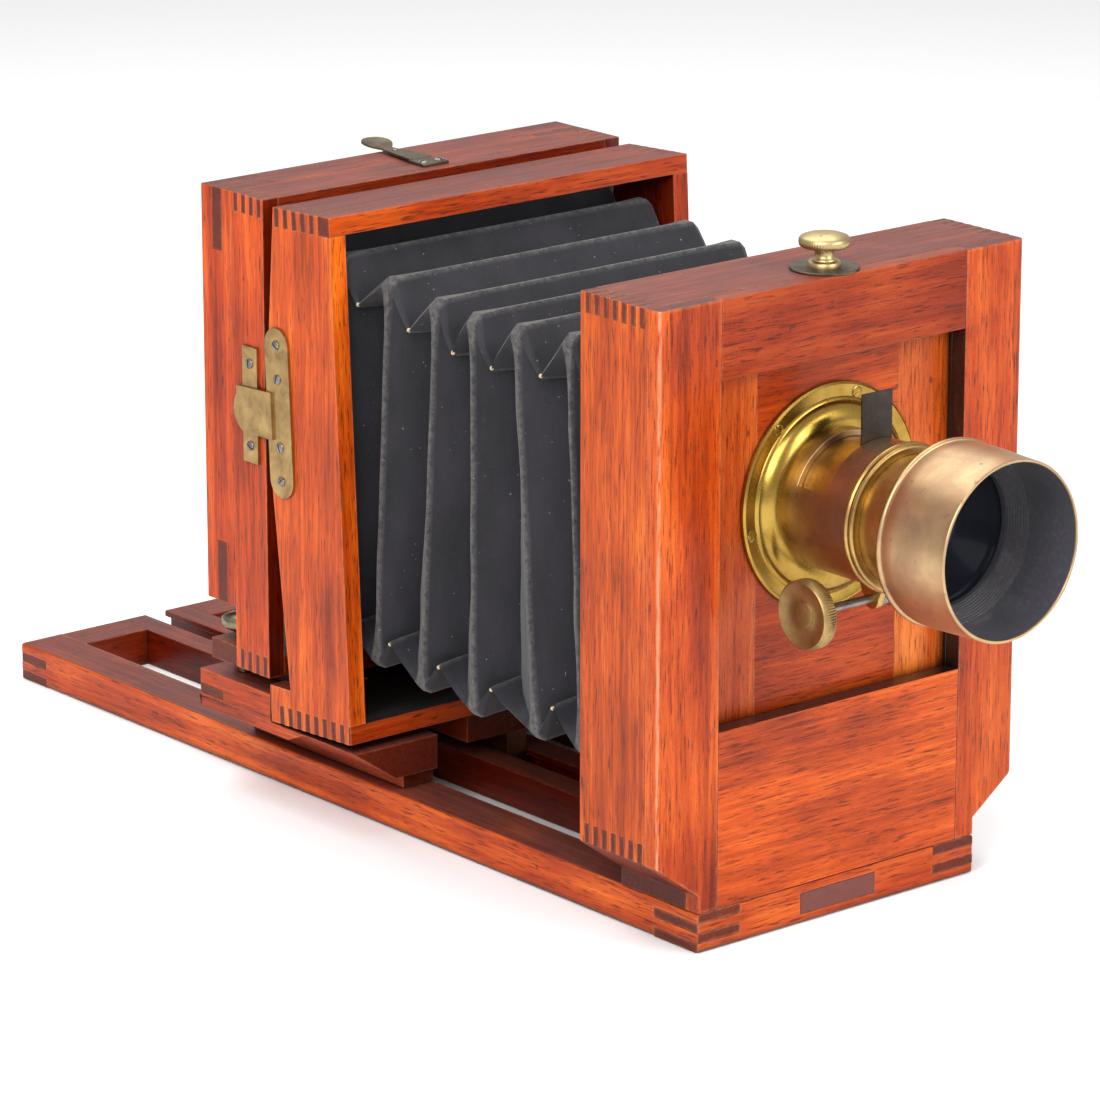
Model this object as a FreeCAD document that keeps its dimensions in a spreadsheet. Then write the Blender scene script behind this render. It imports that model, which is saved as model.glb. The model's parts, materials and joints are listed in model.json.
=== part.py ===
"""A nineteenth-century field view camera: an open wooden bed, a fixed front box with a
rising lens board and a rack-and-pinion brass lens, and a carriage with a swing frame,
a back box and a ground-glass back. Millimetres, +Z up. X runs to the right seen from
the front, the lens looks along -Y, and the bed's underside is at Z 0."""
import FreeCAD
import Part
import os
import re

doc = FreeCAD.newDocument("view_camera")
sheet = doc.addObject("Spreadsheet::Sheet", "Sizes")
V = FreeCAD.Vector

SIZES = [
    # overall
    ("origin_back", 231.5, "distance from the origin forward to the face of the front box"),
    ("box_width", 240.0, "width of the front box, swing frame and back box"),
    ("top_height", 328.0, "height of the front box and the back box above the ground"),
    # bed
    ("corner_inset", 27.0, "how far the bed lies inside the box on each side"),
    ("bed_length", 580.0, "bed from front to rear"),
    ("bed_height", 20.5, "thickness of the bed's rails"),
    ("side_rail", 27.5, "width of a side rail"),
    ("front_rail", 33.0, "width of the front rail"),
    ("rear_rail", 24.0, "width of a rear rail"),
    ("inner_rail", 16.0, "width of an inner rail"),
    ("bed_gap", 13.8, "gap between the inner rails"),
    ("undercut", 4.0, "how far the gap is wider below its lip"),
    ("lip", 3.6, "thickness of the lip over the undercut"),
    ("tenon", 10.0, "length of an inner rail's tenon in the front rail"),
    ("bed_round", 4.0, "rounding of the bed's outer edges"),
    ("plate_length", 50.0, "name plate, long way"),
    ("plate_height", 11.0, "name plate, short way"),
    ("plate_thick", 1.2, "name plate thickness"),
    ("tripod_block_front", 64.0, "front of the tripod block, from the bed's front"),
    ("tripod_block_length", 60.0, "tripod block, front to rear"),
    ("tripod_block_height", 13.0, "tripod block thickness"),
    ("bush_outer", 8.0, "outer radius of the tripod bush"),
    ("bush_bore", 4.76, "radius of the tripod thread, 3/8 inch"),
    # boards of the boxes
    ("board", 10.0, "thickness of the box boards"),
    ("pitch", 6.6, "distance from one finger of a finger joint to the next"),
    # front box
    ("front_depth", 58.0, "front box from front to rear"),
    ("face_thick", 9.5, "thickness of the front frame"),
    ("stile_width", 39.5, "width of a front stile"),
    ("top_rail", 40.0, "height of the front top rail"),
    ("panel_top", 111.6, "top edge of the fixed lower panel"),
    ("chamfer_top", 49.5, "height where the lower corners begin to slope in"),
    ("chamfer_bottom", 29.6, "height where that slope ends"),
    ("channel_lip", 2.2, "thickness of the lip in front of the lens board"),
    ("channel_back", 7.0, "thickness of the channel behind the lens board"),
    ("washer_radius", 17.3, "washer under the clamp knob"),
    ("washer_thick", 1.4, "its thickness"),
    # lens board
    ("lens_height", 214.5, "height of the lens axis"),
    ("lens_board_thick", 9.0, "thickness of the lens board"),
    ("lens_board_low", 111.5, "lens board below the lens axis"),
    ("lens_board_high", 91.5, "lens board above the lens axis"),
    ("lens_board_side", 5.5, "how far the lens board runs into a channel"),
    ("cleat_inner", 47.0, "inner edge of a cleat from the centre plane"),
    ("slide_gap", 0.3, "clearance round a sliding piece of wood"),
    # lens
    ("flange_radius", 57.5, "lens flange"),
    ("flange_thick", 3.0, "its thickness"),
    ("cove_radius", 47.0, "foot of the raised cove on the flange"),
    ("cove_height", 7.0, "height of the cove"),
    ("jacket_wall", 3.35, "wall of the lens's outer jacket"),
    ("jacket_length", 58.0, "jacket from the lens board to its front"),
    ("bead_height", 1.8, "height of the bead at the front of the jacket"),
    ("bead_width", 4.5, "width of that bead"),
    ("barrel_radius", 32.6, "inner barrel that slides in the jacket"),
    ("running_gap", 0.05, "running clearance between barrel and jacket"),
    ("barrel_wall", 2.2, "wall of the inner barrel"),
    ("barrel_front", 84.0, "front of the barrel, from the lens board"),
    ("cut_out_front", 35.2, "front of the jacket's cut-out, from the lens board"),
    ("cut_out_length", 20.6, "length of the cut-out"),
    ("stop_thick", 1.0, "thickness of the aperture stop"),
    ("stop_place", 34.4, "middle of the aperture stop, from the lens board"),
    ("stop_radius", 29.6, "round part of the aperture stop"),
    ("stop_hole", 8.0, "radius of its hole"),
    ("stop_tab", 20.0, "width of its tab"),
    ("stop_top", 59.5, "top of the tab above the lens axis"),
    ("hood_rear", 46.6, "hood's rear bead"),
    ("hood_front", 45.0, "hood's front rim"),
    ("hood_wall", 1.8, "wall of the hood"),
    ("hood_start", 84.0, "rear of the hood, from the lens board"),
    ("hood_length", 45.0, "hood from rear to front"),
    ("hood_back", 4.0, "thickness of the hood's rear plate"),
    ("cell_radius", 41.0, "outer radius of the front cell"),
    ("cell_length", 9.0, "length of the front cell"),
    ("glass_radius", 37.0, "radius of the front glass"),
    ("glass_thick", 5.0, "thickness of the front glass"),
    ("rear_glass_thick", 5.0, "thickness of the rear glass"),
    ("rack_width", 5.0, "width of the focusing rack"),
    ("rack_height", 3.0, "height of the rack below the barrel"),
    ("rack_length", 40.0, "length of the rack"),
    ("pinion_radius", 6.4, "pinion"),
    ("pinion_gap", 0.35, "clearance between the pinion and the rack"),
    ("pinion_width", 6.0, "width of the pinion"),
    ("pinion_place", 40.0, "pinion shaft, from the lens board"),
    ("shaft_radius", 2.6, "pinion shaft"),
    ("housing_half", 8.0, "half width of the pinion housing"),
    ("housing_wall", 2.6, "wall of the pinion housing"),
    ("focus_knob_radius", 17.2, "focus knob"),
    ("focus_knob_thick", 9.0, "its thickness"),
    ("focus_knob_place", 53.0, "outer face of the focus knob from the centre plane"),
    # clamp knob on the front box
    ("knob_radius", 12.6, "head of the clamp knob"),
    ("knob_thick", 8.0, "height of that head"),
    ("knob_neck", 4.7, "radius of its neck"),
    ("knob_neck_height", 8.5, "height of the neck"),
    ("knob_collar", 8.2, "radius of its collar"),
    ("knob_collar_height", 3.0, "height of the collar"),
    ("knob_stem", 3.2, "radius of its stem"),
    ("knob_stem_length", 17.0, "length of its stem below the washer"),
    # carriage
    ("carriage_front", 238.0, "front of the carriage, from the bed's front"),
    ("carriage_rear", 372.0, "rear of the carriage, from the bed's front"),
    ("seat_height", 47.2, "height of the runners' tops"),
    ("runner_bottom", 28.5, "underside of the runners' overhang"),
    ("shoe_width", 20.0, "width of the shoe under a runner"),
    ("guide_thick", 4.0, "thickness of the guide inside a side rail"),
    ("guide_depth", 9.0, "how far a guide reaches below the bed's top"),
    ("guide_set_back", 18.0, "guide's distance behind the carriage's front"),
    ("guide_length", 100.0, "length of a guide"),
    ("cheek_width", 28.0, "width of a cheek"),
    ("cheek_top", 62.4, "height of a cheek's top"),
    ("cheek_bottom", 41.0, "underside of a cheek outside the runner"),
    ("cheek_front", 310.4, "front of the cheeks, from the bed's front"),
    ("cheek_slope", 30.0, "length of a cheek's sloping toe"),
    ("key_height", 5.0, "height of the rear rail's tenon"),
    ("carriage_rail", 20.0, "width of the carriage's rear rail"),
    ("centre_half", 34.0, "half width of the centre block"),
    ("centre_bottom", 32.0, "underside of the centre block"),
    ("tongue_half", 6.6, "half width of the tongue in the bed's gap"),
    ("tongue_head", 10.4, "half width of its head below the lip"),
    ("tongue_bottom", 8.0, "underside of its head"),
    ("riser_side", 18.0, "riser's distance inside the carriage's side"),
    # back box
    ("back_front", 310.6, "front of the back box, from the bed's front"),
    ("back_depth", 28.4, "back box from front to rear"),
    ("back_bottom", 71.0, "underside of the back box"),
    ("foot_reach", 22.0, "how far the foot runs behind the back box"),
    ("foot_thick", 11.0, "thickness of the foot and bottom board"),
    ("screen_bottom", 104.0, "underside of the focusing back"),
    ("screen_depth", 24.4, "focusing back from front to rear"),
    ("screen_rail", 33.0, "width of its stiles and rails"),
    ("bridle", 8.0, "thickness of its tenons"),
    ("bridle_set", 7.0, "cheek of the joint in front of a tenon"),
    ("screen_glass", 2.4, "thickness of the ground glass"),
    ("glass_rebate", 6.0, "how far the glass runs into the frame"),
    ("glass_set", 10.0, "glass behind the front of the focusing back"),
    # pivots
    ("pivot_back", 322.0, "side pivots, from the bed's front"),
    ("pivot_height", 214.5, "height of the side pivots"),
    ("leaf_thick", 1.4, "thickness of the brass plates"),
    ("pivot_pin", 2.4, "radius of a pivot pin"),
    ("pin_length", 8.0, "how far a pivot pin runs into the back box"),
    # swing frame
    ("swing_lean", 2.9, "lean of the swing frame, degrees"),
    ("swing_front", 249.4, "front of the upright swing frame"),
    ("swing_bottom", 47.6, "underside of the upright swing frame"),
    ("swing_height", 277.0, "height of the swing frame"),
    ("swing_top_depth", 46.8, "depth of its side boards at the top"),
    ("swing_mid_depth", 60.6, "depth of its side boards at the pivots"),
    ("swing_low_depth", 50.4, "depth of its side boards above the foot"),
    ("swing_foot_depth", 68.0, "depth of its foot"),
    ("swing_foot_height", 20.0, "height of its foot"),
    ("swing_pitch", 7.35, "finger pitch of the swing frame"),
    ("swing_high_front", 9.2, "its wide front finger at the top"),
    ("swing_low_front", 1.6, "its narrow front finger at the bottom"),
    ("leaf_width", 19.5, "width of a hinge leaf"),
    ("leaf_lift", 2.0, "height of a leaf's middle above the pivot"),
    ("leaf_height", 90.0, "height of a hinge leaf"),
    ("tab_height", 25.0, "height of the leaf's tab round the pivot"),
    ("tab_reach", 12.4, "how far the tab runs behind the pivot"),
    ("back_plate_width", 12.5, "width of the back box's hinge plate"),
    ("back_plate_height", 62.0, "height of that plate"),
    ("back_plate_lift", 3.0, "height of its middle above the pivot"),
    # latch
    ("latch_width", 19.4, "width of the latch base"),
    ("latch_length", 17.0, "length of the latch base"),
    ("latch_thick", 1.4, "thickness of the latch base"),
    ("latch_pivot", 2.2, "radius of the latch's pivot pin"),
    ("strip_front", 10.0, "width of the latch strip at its pivot"),
    ("strip_reach", 38.0, "latch strip from its pivot to the paddle"),
    ("paddle_radius", 6.6, "paddle at the end of the latch"),
    # thumb knobs on the foot
    ("thumb_radius", 11.5, "thumb knob"),
    ("thumb_thick", 5.5, "height of its head"),
    ("thumb_neck", 4.0, "radius of its neck"),
    ("thumb_neck_height", 5.5, "height of the neck"),
    ("thumb_back", 12.6, "thumb knob's centre behind the back box"),
    ("thumb_side", 14.0, "thumb knob's centre inside the box's side"),
    # bellows
    ("bellows_half", 102.0, "half width of the bellows"),
    ("bellows_top", 304.0, "top of the bellows"),
    ("bellows_bottom", 79.0, "underside of the bellows"),
    ("bellows_wall", 4.0, "wall of the plain bellows solid"),
    ("bellows_gap", 0.3, "clearance at each end of the bellows"),
    # screws
    ("screw_head", 2.6, "radius of a screw head"),
    ("screw_shank", 1.3, "radius of a screw shank"),
    ("screw_length", 8.0, "length of a screw"),
    ("screw_head_thick", 1.0, "height of a screw head"),
]
for row, (alias, value, note) in enumerate(SIZES, start=1):
    sheet.set(f"A{row}", str(value))
    sheet.setAlias(f"A{row}", alias)
    sheet.set(f"B{row}", note)
doc.recompute()
ALIASES = {alias for alias, value, note in SIZES}

nodes = []


def bind(item, prop, text):
    """Bind a property to an expression in which a size is written by its alias."""
    item.setExpression(prop, re.sub(r"[a-z][a-z_]+", lambda word: "Sizes." + word.group()
                                    if word.group() in ALIASES else word.group(), text))


def keep(item):
    """Make an object a sub-part that is written out under its label."""
    nodes.append(item)
    return item


def place(item, x, y, z):
    """Put an object's own origin at X, at Y behind the bed's front, and at Z."""
    bind(item, "Placement.Base.x", x)
    bind(item, "Placement.Base.y", f"({y}) - origin_back")
    bind(item, "Placement.Base.z", z)
    return item


def box(label, x, y, z):
    """A board between two limits in each direction; Y counts from the bed's front."""
    item = doc.addObject("Part::Box", label)
    for prop, (low, high) in zip(("Length", "Width", "Height"), (x, y, z)):
        bind(item, prop, f"({high}) - ({low})")
    return place(item, x[0], y[0], z[0])


TURNS = {
    "x": FreeCAD.Rotation(V(0, 1, 0), 90),
    "y": FreeCAD.Rotation(V(1, 0, 0), -90),
    "z": FreeCAD.Rotation(),
}


def along(item, axis, centre, start):
    """Lay a round solid along an axis, from start, on a centre in the other two."""
    item.Placement.Rotation = TURNS[axis]
    spot = list(centre)
    spot.insert("xyz".index(axis), start)
    return place(item, *spot)


def rod(label, axis, centre, radius, start, end):
    """A round bar along X, Y or Z."""
    item = doc.addObject("Part::Cylinder", label)
    bind(item, "Radius", radius)
    bind(item, "Height", f"({end}) - ({start})")
    return along(item, axis, centre, start)


def cone(label, axis, centre, radii, start, end):
    """A tapered round bar along X, Y or Z."""
    item = doc.addObject("Part::Cone", label)
    bind(item, "Radius1", radii[0])
    bind(item, "Radius2", radii[1])
    bind(item, "Height", f"({end}) - ({start})")
    return along(item, axis, centre, start)


def wedge(label, across, low, high, z, upright="y"):
    """A prism with a level bottom and top of different lengths along one direction.
    across is its constant extent, low and high the other direction's limits."""
    item = doc.addObject("Part::Wedge", label)
    turn = V(1, 1, 1), 120
    if upright == "x":
        turn = V(1, 0, 0), 90
    item.Placement.Rotation = FreeCAD.Rotation(*turn)
    start, end = across
    if upright == "x":
        start, end = f"origin_back - ({across[1]})", f"origin_back - ({across[0]})"
    else:
        low, high = ([f"({edge}) - origin_back" for edge in pair] for pair in (low, high))
    for prop, text in (("Xmin", low[0]), ("Xmax", low[1]), ("X2min", high[0]),
                       ("X2max", high[1]), ("Ymin", z[0]), ("Ymax", z[1]),
                       ("Zmin", start), ("Zmax", end), ("Z2min", start), ("Z2max", end)):
        bind(item, prop, text)
    return item


def fuse(label, *parts):
    """One solid from several that touch or overlap."""
    item = doc.addObject("Part::MultiFuse", label)
    item.Shapes = list(parts)
    item.Refine = True
    return item


def group(label, *parts):
    """Separate solids that share one node."""
    item = doc.addObject("Part::Compound", label)
    item.Links = list(parts)
    return item


def cut(label, base, *tools):
    """A solid with the tools' shapes taken away."""
    item = doc.addObject("Part::Cut", label)
    item.Base = base
    item.Tool = tools[0] if len(tools) == 1 else group(label + "_tools", *tools)
    item.Refine = True
    return item


def common(label, base, tool):
    """The space that two solids share."""
    item = doc.addObject("Part::Common", label)
    item.Base = base
    item.Tool = tool
    item.Refine = True
    return item


def span(side, inner, outer):
    """The X limits of a piece that lies between two distances from the centre plane."""
    return (inner, outer) if side == "right" else (f"-({outer})", f"-({inner})")


def from_centre(side, distance):
    """X at a distance from the centre plane."""
    return distance if side == "right" else f"-({distance})"


def comb(label, x, first, count, z, step="pitch", front=None):
    """The fingers of a finger joint: a row of pegs along Y, half a pitch thick. Front gives
    the ends of one more peg of its own width."""
    pegs = [] if front is None else [box(f"{label}_front", x, front, z)]
    for number in range(count):
        start = f"{first} + {number} * {step}"
        pegs.append(box(f"{label}_{number}", x, (start, f"{start} + {step} / 2"), z))
    return group(label, *pegs)


def layers(label, x, y, odd):
    """Every other layer of the bed's corner joint, which has four layers."""
    quarter = "bed_height / 4"
    levels = (1, 3) if odd else (0, 2)
    return group(label, *(box(f"{label}_{level}", x, y, (f"{level} * {quarter}", f"{level + 1} * {quarter}"))
                          for level in levels))


def screw(label, axis, centre, face, inward):
    """A round-headed screw in a face: the head stands on it and the shank runs in."""
    out = -1 if inward > 0 else 1
    ends = sorted(((0, face), (out, f"{face} + ({out}) * screw_head_thick")))
    head = rod(label + "_head", axis, centre, "screw_head", ends[0][1], ends[1][1])
    ends = sorted(((0, face), (inward, f"{face} + ({inward}) * screw_length")))
    shank = rod(label + "_shank", axis, centre, "screw_shank", ends[0][1], ends[1][1])
    return fuse(label, head, shank)


SIDES = ("left", "right")
HALF = "box_width / 2"
BED_HALF = "(box_width / 2 - corner_inset)"
CHANNEL_REAR = "face_thick + channel_lip + lens_board_thick + 2 * slide_gap + channel_back"


# ---------------------------------------------------------------- bed
def make_bed():
    """Side rails, front rail, two rear rails and two inner rails, comb jointed."""
    inner_rails, rear_rails = [], []
    rail_inner = f"{BED_HALF} - side_rail"
    gap_half = "bed_gap / 2"
    inner_outer = f"{gap_half} + inner_rail"
    height = ("0", "bed_height")
    rear_start = "bed_length - rear_rail"
    for side in SIDES:
        corner_x = span(side, rail_inner, BED_HALF)
        length = box(f"bed_side_{side}_blank", corner_x, ("0", "bed_length"), height)
        notch = group(f"bed_side_{side}_notches",
                      layers(f"front_notch_{side}", corner_x, ("0", "front_rail"), odd=False),
                      layers(f"rear_notch_{side}", corner_x, (rear_start, "bed_length"), odd=False))
        keep(cut(f"bed_side_rail_{side}", length, notch))
        rail = box(f"inner_{side}_blank", span(side, gap_half, inner_outer),
                   ("front_rail - tenon", "bed_length"), height)
        undercut = box(f"inner_{side}_undercut", span(side, gap_half, f"{gap_half} + undercut"),
                       ("front_rail", "bed_length"), ("0", "bed_height - lip"))
        shoulder = box(f"inner_{side}_shoulder", span(side, gap_half, inner_outer),
                       ("front_rail - tenon", "front_rail"), ("bed_height * 0.7", "bed_height"))
        inner_rails.append(cut(f"bed_inner_rail_{side}", rail, undercut, shoulder))
        rear = box(f"rear_{side}_middle", span(side, inner_outer, rail_inner),
                   (rear_start, "bed_length"), height)
        pegs = layers(f"rear_pegs_{side}", corner_x, (rear_start, "bed_length"), odd=False)
        rear_rails.append(fuse(f"bed_rear_rail_{side}", rear, pegs))
    keep(group("bed_inner_rails", *inner_rails))
    keep(group("bed_rear_rails", *rear_rails))
    middle = box("bed_front_middle", (f"-({rail_inner})", rail_inner), ("0", "front_rail"), height)
    pegs = [layers(f"front_pegs_{side}", span(side, rail_inner, BED_HALF), ("0", "front_rail"), odd=False)
            for side in SIDES]
    mortise = [box(f"front_mortise_{side}", span(side, gap_half, inner_outer),
                   ("front_rail - tenon", "front_rail"), ("0", "bed_height * 0.7")) for side in SIDES]
    recess = box("plate_recess", ("-plate_length / 2", "plate_length / 2"), ("0", "plate_thick"),
                 ("(bed_height - plate_height) / 2", "(bed_height + plate_height) / 2"))
    keep(cut("bed_front_rail", fuse("bed_front_blank", middle, *pegs), *mortise, recess))
    keep(box("name_plate", ("-plate_length / 2", "plate_length / 2"), ("0", "plate_thick"),
             ("(bed_height - plate_height) / 2", "(bed_height + plate_height) / 2")))

    wide = f"{gap_half} + undercut"
    block_rear = "tripod_block_front + tripod_block_length"
    block = box("tripod_block_blank", (f"-({wide})", wide), ("tripod_block_front", block_rear),
                ("0", "tripod_block_height"))
    centre = ("0", "tripod_block_front + tripod_block_length / 2")
    hole = rod("tripod_bush_hole", "z", centre, "bush_outer", "0", "tripod_block_height")
    keep(cut("tripod_block", block, hole))
    outer = rod("tripod_bush_outer", "z", centre, "bush_outer", "0", "tripod_block_height")
    bore = rod("tripod_bush_bore", "z", centre, "bush_bore", "0", "tripod_block_height")
    keep(cut("tripod_bush", outer, bore))


# ---------------------------------------------------------------- front box
def corner_shape(label, y):
    """The front box's outline seen from the front: full width above, sloping in below."""
    upper = box(label + "_upper", (f"-({HALF})", HALF), y, ("chamfer_top", "top_height"))
    slope = wedge(label + "_slope", y, (f"-({BED_HALF})", BED_HALF), (f"-({HALF})", HALF),
                  ("chamfer_bottom", "chamfer_top"), upright="x")
    sill = box(label + "_sill", (f"-({BED_HALF})", BED_HALF), y, ("bed_height", "chamfer_bottom"))
    return fuse(label, upper, slope, sill)


def make_front_box():
    """Boards with finger joints behind a framed face, on a base with sloping corners."""
    face = ("0", "face_thick")
    body = ("face_thick", "front_depth")
    opening = f"{HALF} - stile_width"
    low = ("chamfer_top", "chamfer_top + board")
    high = ("top_height - board", "top_height")
    inside = f"{HALF} - board"
    fingers = 7
    combs = {(side, name): comb(f"front_{name}_fingers_{side}", span(side, inside, HALF),
                                "face_thick + pitch / 4", fingers, limits)
             for side in SIDES for name, limits in (("low", low), ("high", high))}
    stiles = []
    for side in SIDES:
        board = box(f"front_side_{side}_blank", span(side, inside, HALF), body,
                    ("chamfer_top", "top_height"))
        keep(cut(f"front_side_board_{side}", board, combs[side, "low"], combs[side, "high"]))
        stile = box(f"front_stile_{side}_blank", span(side, opening, HALF), face,
                    ("bed_height", "top_height"))
        stiles.append(common(f"front_stile_{side}", stile, corner_shape(f"face_outline_{side}", face)))
    keep(group("front_stiles", *stiles))
    across = (f"-({inside})", inside)
    keep(fuse("front_bottom_board", box("front_bottom_middle", across, body, low),
              combs["left", "low"], combs["right", "low"]))
    top = fuse("front_top_blank", box("front_top_middle", across, body, high),
               combs["left", "high"], combs["right", "high"])
    keep(cut("front_top_board", top, rod("stem_hole", "z", knob_centre(), "knob_stem + slide_gap",
                                         "top_height - board", "top_height")))
    slope = wedge("base_slope", body, (f"-({BED_HALF})", BED_HALF), (f"-({HALF})", HALF),
                  ("chamfer_bottom", "chamfer_top"), upright="x")
    sill = box("base_sill", (f"-({BED_HALF})", BED_HALF), body, ("bed_height", "chamfer_bottom"))
    keep(fuse("front_base_block", slope, sill))
    open_x = (f"-({opening})", opening)
    keep(box("front_top_rail", open_x, face, ("top_height - top_rail", "top_height")))
    keep(box("front_lower_panel", open_x, face, ("bed_height", "panel_top")))

    channels = []
    groove_front = "face_thick + channel_lip"
    groove_rear = f"{groove_front} + lens_board_thick + 2 * slide_gap"
    for side in SIDES:
        solid = box(f"channel_{side}_solid", span(side, opening, inside),
                    ("face_thick", CHANNEL_REAR),
                    ("chamfer_top + board", "top_height - board"))
        groove = box(f"channel_{side}_groove",
                     span(side, opening, f"{opening} + lens_board_side + slide_gap"),
                     (groove_front, groove_rear), ("chamfer_top + board", "top_height - board"))
        channels.append(cut(f"channel_{side}", solid, groove))
    keep(group("lens_board_channels", *channels))
    disc = rod("washer_disc", "z", knob_centre(), "washer_radius", "top_height",
               "top_height + washer_thick")
    keep(cut("clamp_washer", disc, rod("washer_hole", "z", knob_centre(), "knob_stem + slide_gap",
                                       "top_height", "top_height + washer_thick")))


def knob_centre():
    """X and Y of the clamp knob, over the middle of the lens board's thickness."""
    return ("0", "face_thick + channel_lip + slide_gap + lens_board_thick / 2")


def make_clamp_knob():
    """A dished head on a neck and a collar, with a plain stem through the top board."""
    base = "top_height + washer_thick"
    stem = rod("clamp_stem", "z", knob_centre(), "knob_stem", f"{base} - knob_stem_length", base)
    collar = rod("clamp_collar", "z", knob_centre(), "knob_collar", base, f"{base} + knob_collar_height")
    neck_top = f"{base} + knob_neck_height"
    neck = rod("clamp_neck", "z", knob_centre(), "knob_neck", base, neck_top)
    head = rod("clamp_head", "z", knob_centre(), "knob_radius", neck_top, f"{neck_top} + knob_thick")
    keep(fuse("front_clamp_knob", stem, collar, neck, head))


# ---------------------------------------------------------------- lens
BOARD_FACE = "face_thick + channel_lip + slide_gap"
AXIS = ("0", "lens_height")
JACKET = "(barrel_radius + running_gap + jacket_wall)"
BEAD = f"({JACKET} + bead_height)"


def ahead(distance):
    """Y at a distance in front of the lens board's face."""
    return f"{BOARD_FACE} - ({distance})"


def lens_rod(label, radius, near, far):
    """A round bar on the lens axis between two distances in front of the lens board."""
    return rod(label, "y", AXIS, radius, ahead(far), ahead(near))


def lens_cone(label, near, far, radius_near, radius_far):
    """A taper on the lens axis."""
    return cone(label, "y", AXIS, (radius_far, radius_near), ahead(far), ahead(near))


def make_lens_board():
    """The sliding board with its cleats, the flange, the jacket and the pinion housing."""
    reach = f"{HALF} - stile_width + lens_board_side"
    rear = f"{BOARD_FACE} + lens_board_thick"
    z = ("lens_height - lens_board_low", "lens_height + lens_board_high")
    screws = []
    count = 6
    ring_radius = "(flange_radius + cove_radius) / 2"
    for number in range(count):
        turn = f"{number} * 60 + 12"
        centre = (f"{ring_radius} * cos({turn})", f"lens_height + {ring_radius} * sin({turn})")
        screws.append(screw(f"flange_screw_{number}", "y", centre, ahead("flange_thick"), 1))
    screw_set = keep(group("flange_screws", *screws))
    panel = box("lens_panel_blank", ("-cleat_inner", "cleat_inner"), (BOARD_FACE, rear), z)
    bore = lens_rod("lens_panel_bore", JACKET, "-lens_board_thick", "0")
    keep(cut("lens_board", panel, bore, screw_set))
    cleats = [box(f"cleat_{side}", span(side, "cleat_inner", reach), (BOARD_FACE, rear), z)
              for side in SIDES]
    keep(cut("lens_board_cleats", group("cleat_blanks", *cleats), screw_set))

    plate = lens_rod("flange_plate", "flange_radius", "0", "flange_thick")
    cove = lens_cone("flange_cove", "flange_thick", "flange_thick + cove_height",
                     "cove_radius", f"{JACKET} + 2.5")
    seat = lens_rod("flange_seat", JACKET, "0", "flange_thick + cove_height")
    keep(cut("lens_flange", fuse("flange_blank", plate, cove), seat, screw_set))

    tube = lens_rod("jacket_tube", JACKET, "-lens_board_thick", "jacket_length")
    bead = lens_rod("jacket_front_bead", BEAD, "jacket_length - bead_width", "jacket_length")
    inside = lens_rod("jacket_inside", "barrel_radius + running_gap", "-lens_board_thick", "jacket_length")
    cut_out = box("jacket_cut_out", (f"-{JACKET}", JACKET),
                  (ahead("cut_out_front"), ahead("cut_out_front - cut_out_length")),
                  ("lens_height + 14", f"lens_height + {JACKET} + 1"))
    slot = box("jacket_rack_slot", ("-rack_width / 2 - 0.8", "rack_width / 2 + 0.8"),
               (ahead("jacket_length"), ahead("4")), (f"lens_height - {BEAD} - 1", "lens_height - 20"))
    keep(cut("lens_jacket", fuse("jacket_blank", tube, bead), inside, cut_out, slot))

    top = f"lens_height - {JACKET} + 1.5"
    bottom = f"{pinion_height()} - pinion_radius - housing_wall - 1"
    y = (ahead("pinion_place + pinion_radius + 1 + housing_wall"),
         ahead("pinion_place - pinion_radius - 1 - housing_wall"))
    shell = box("housing_shell", ("-housing_half", "housing_half"), y, (bottom, top))
    hollow = box("housing_hollow", ("-pinion_width / 2 - 0.5", "pinion_width / 2 + 0.5"),
                 (f"{y[0]} + housing_wall", f"{y[1]} - housing_wall"), (f"{bottom} + housing_wall", top))
    hole = rod("housing_hole", "x", (ahead("pinion_place"), pinion_height()),
               "shaft_radius + running_gap", "-housing_half", "housing_half")
    keep(cut("pinion_housing", shell, hollow, hole,
             lens_rod("housing_seat", JACKET, "0", "jacket_length")))


def pinion_height():
    """Height of the pinion's axis, in mesh with the rack under the barrel."""
    return "lens_height - barrel_radius - rack_height - pinion_gap - pinion_radius"


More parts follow.
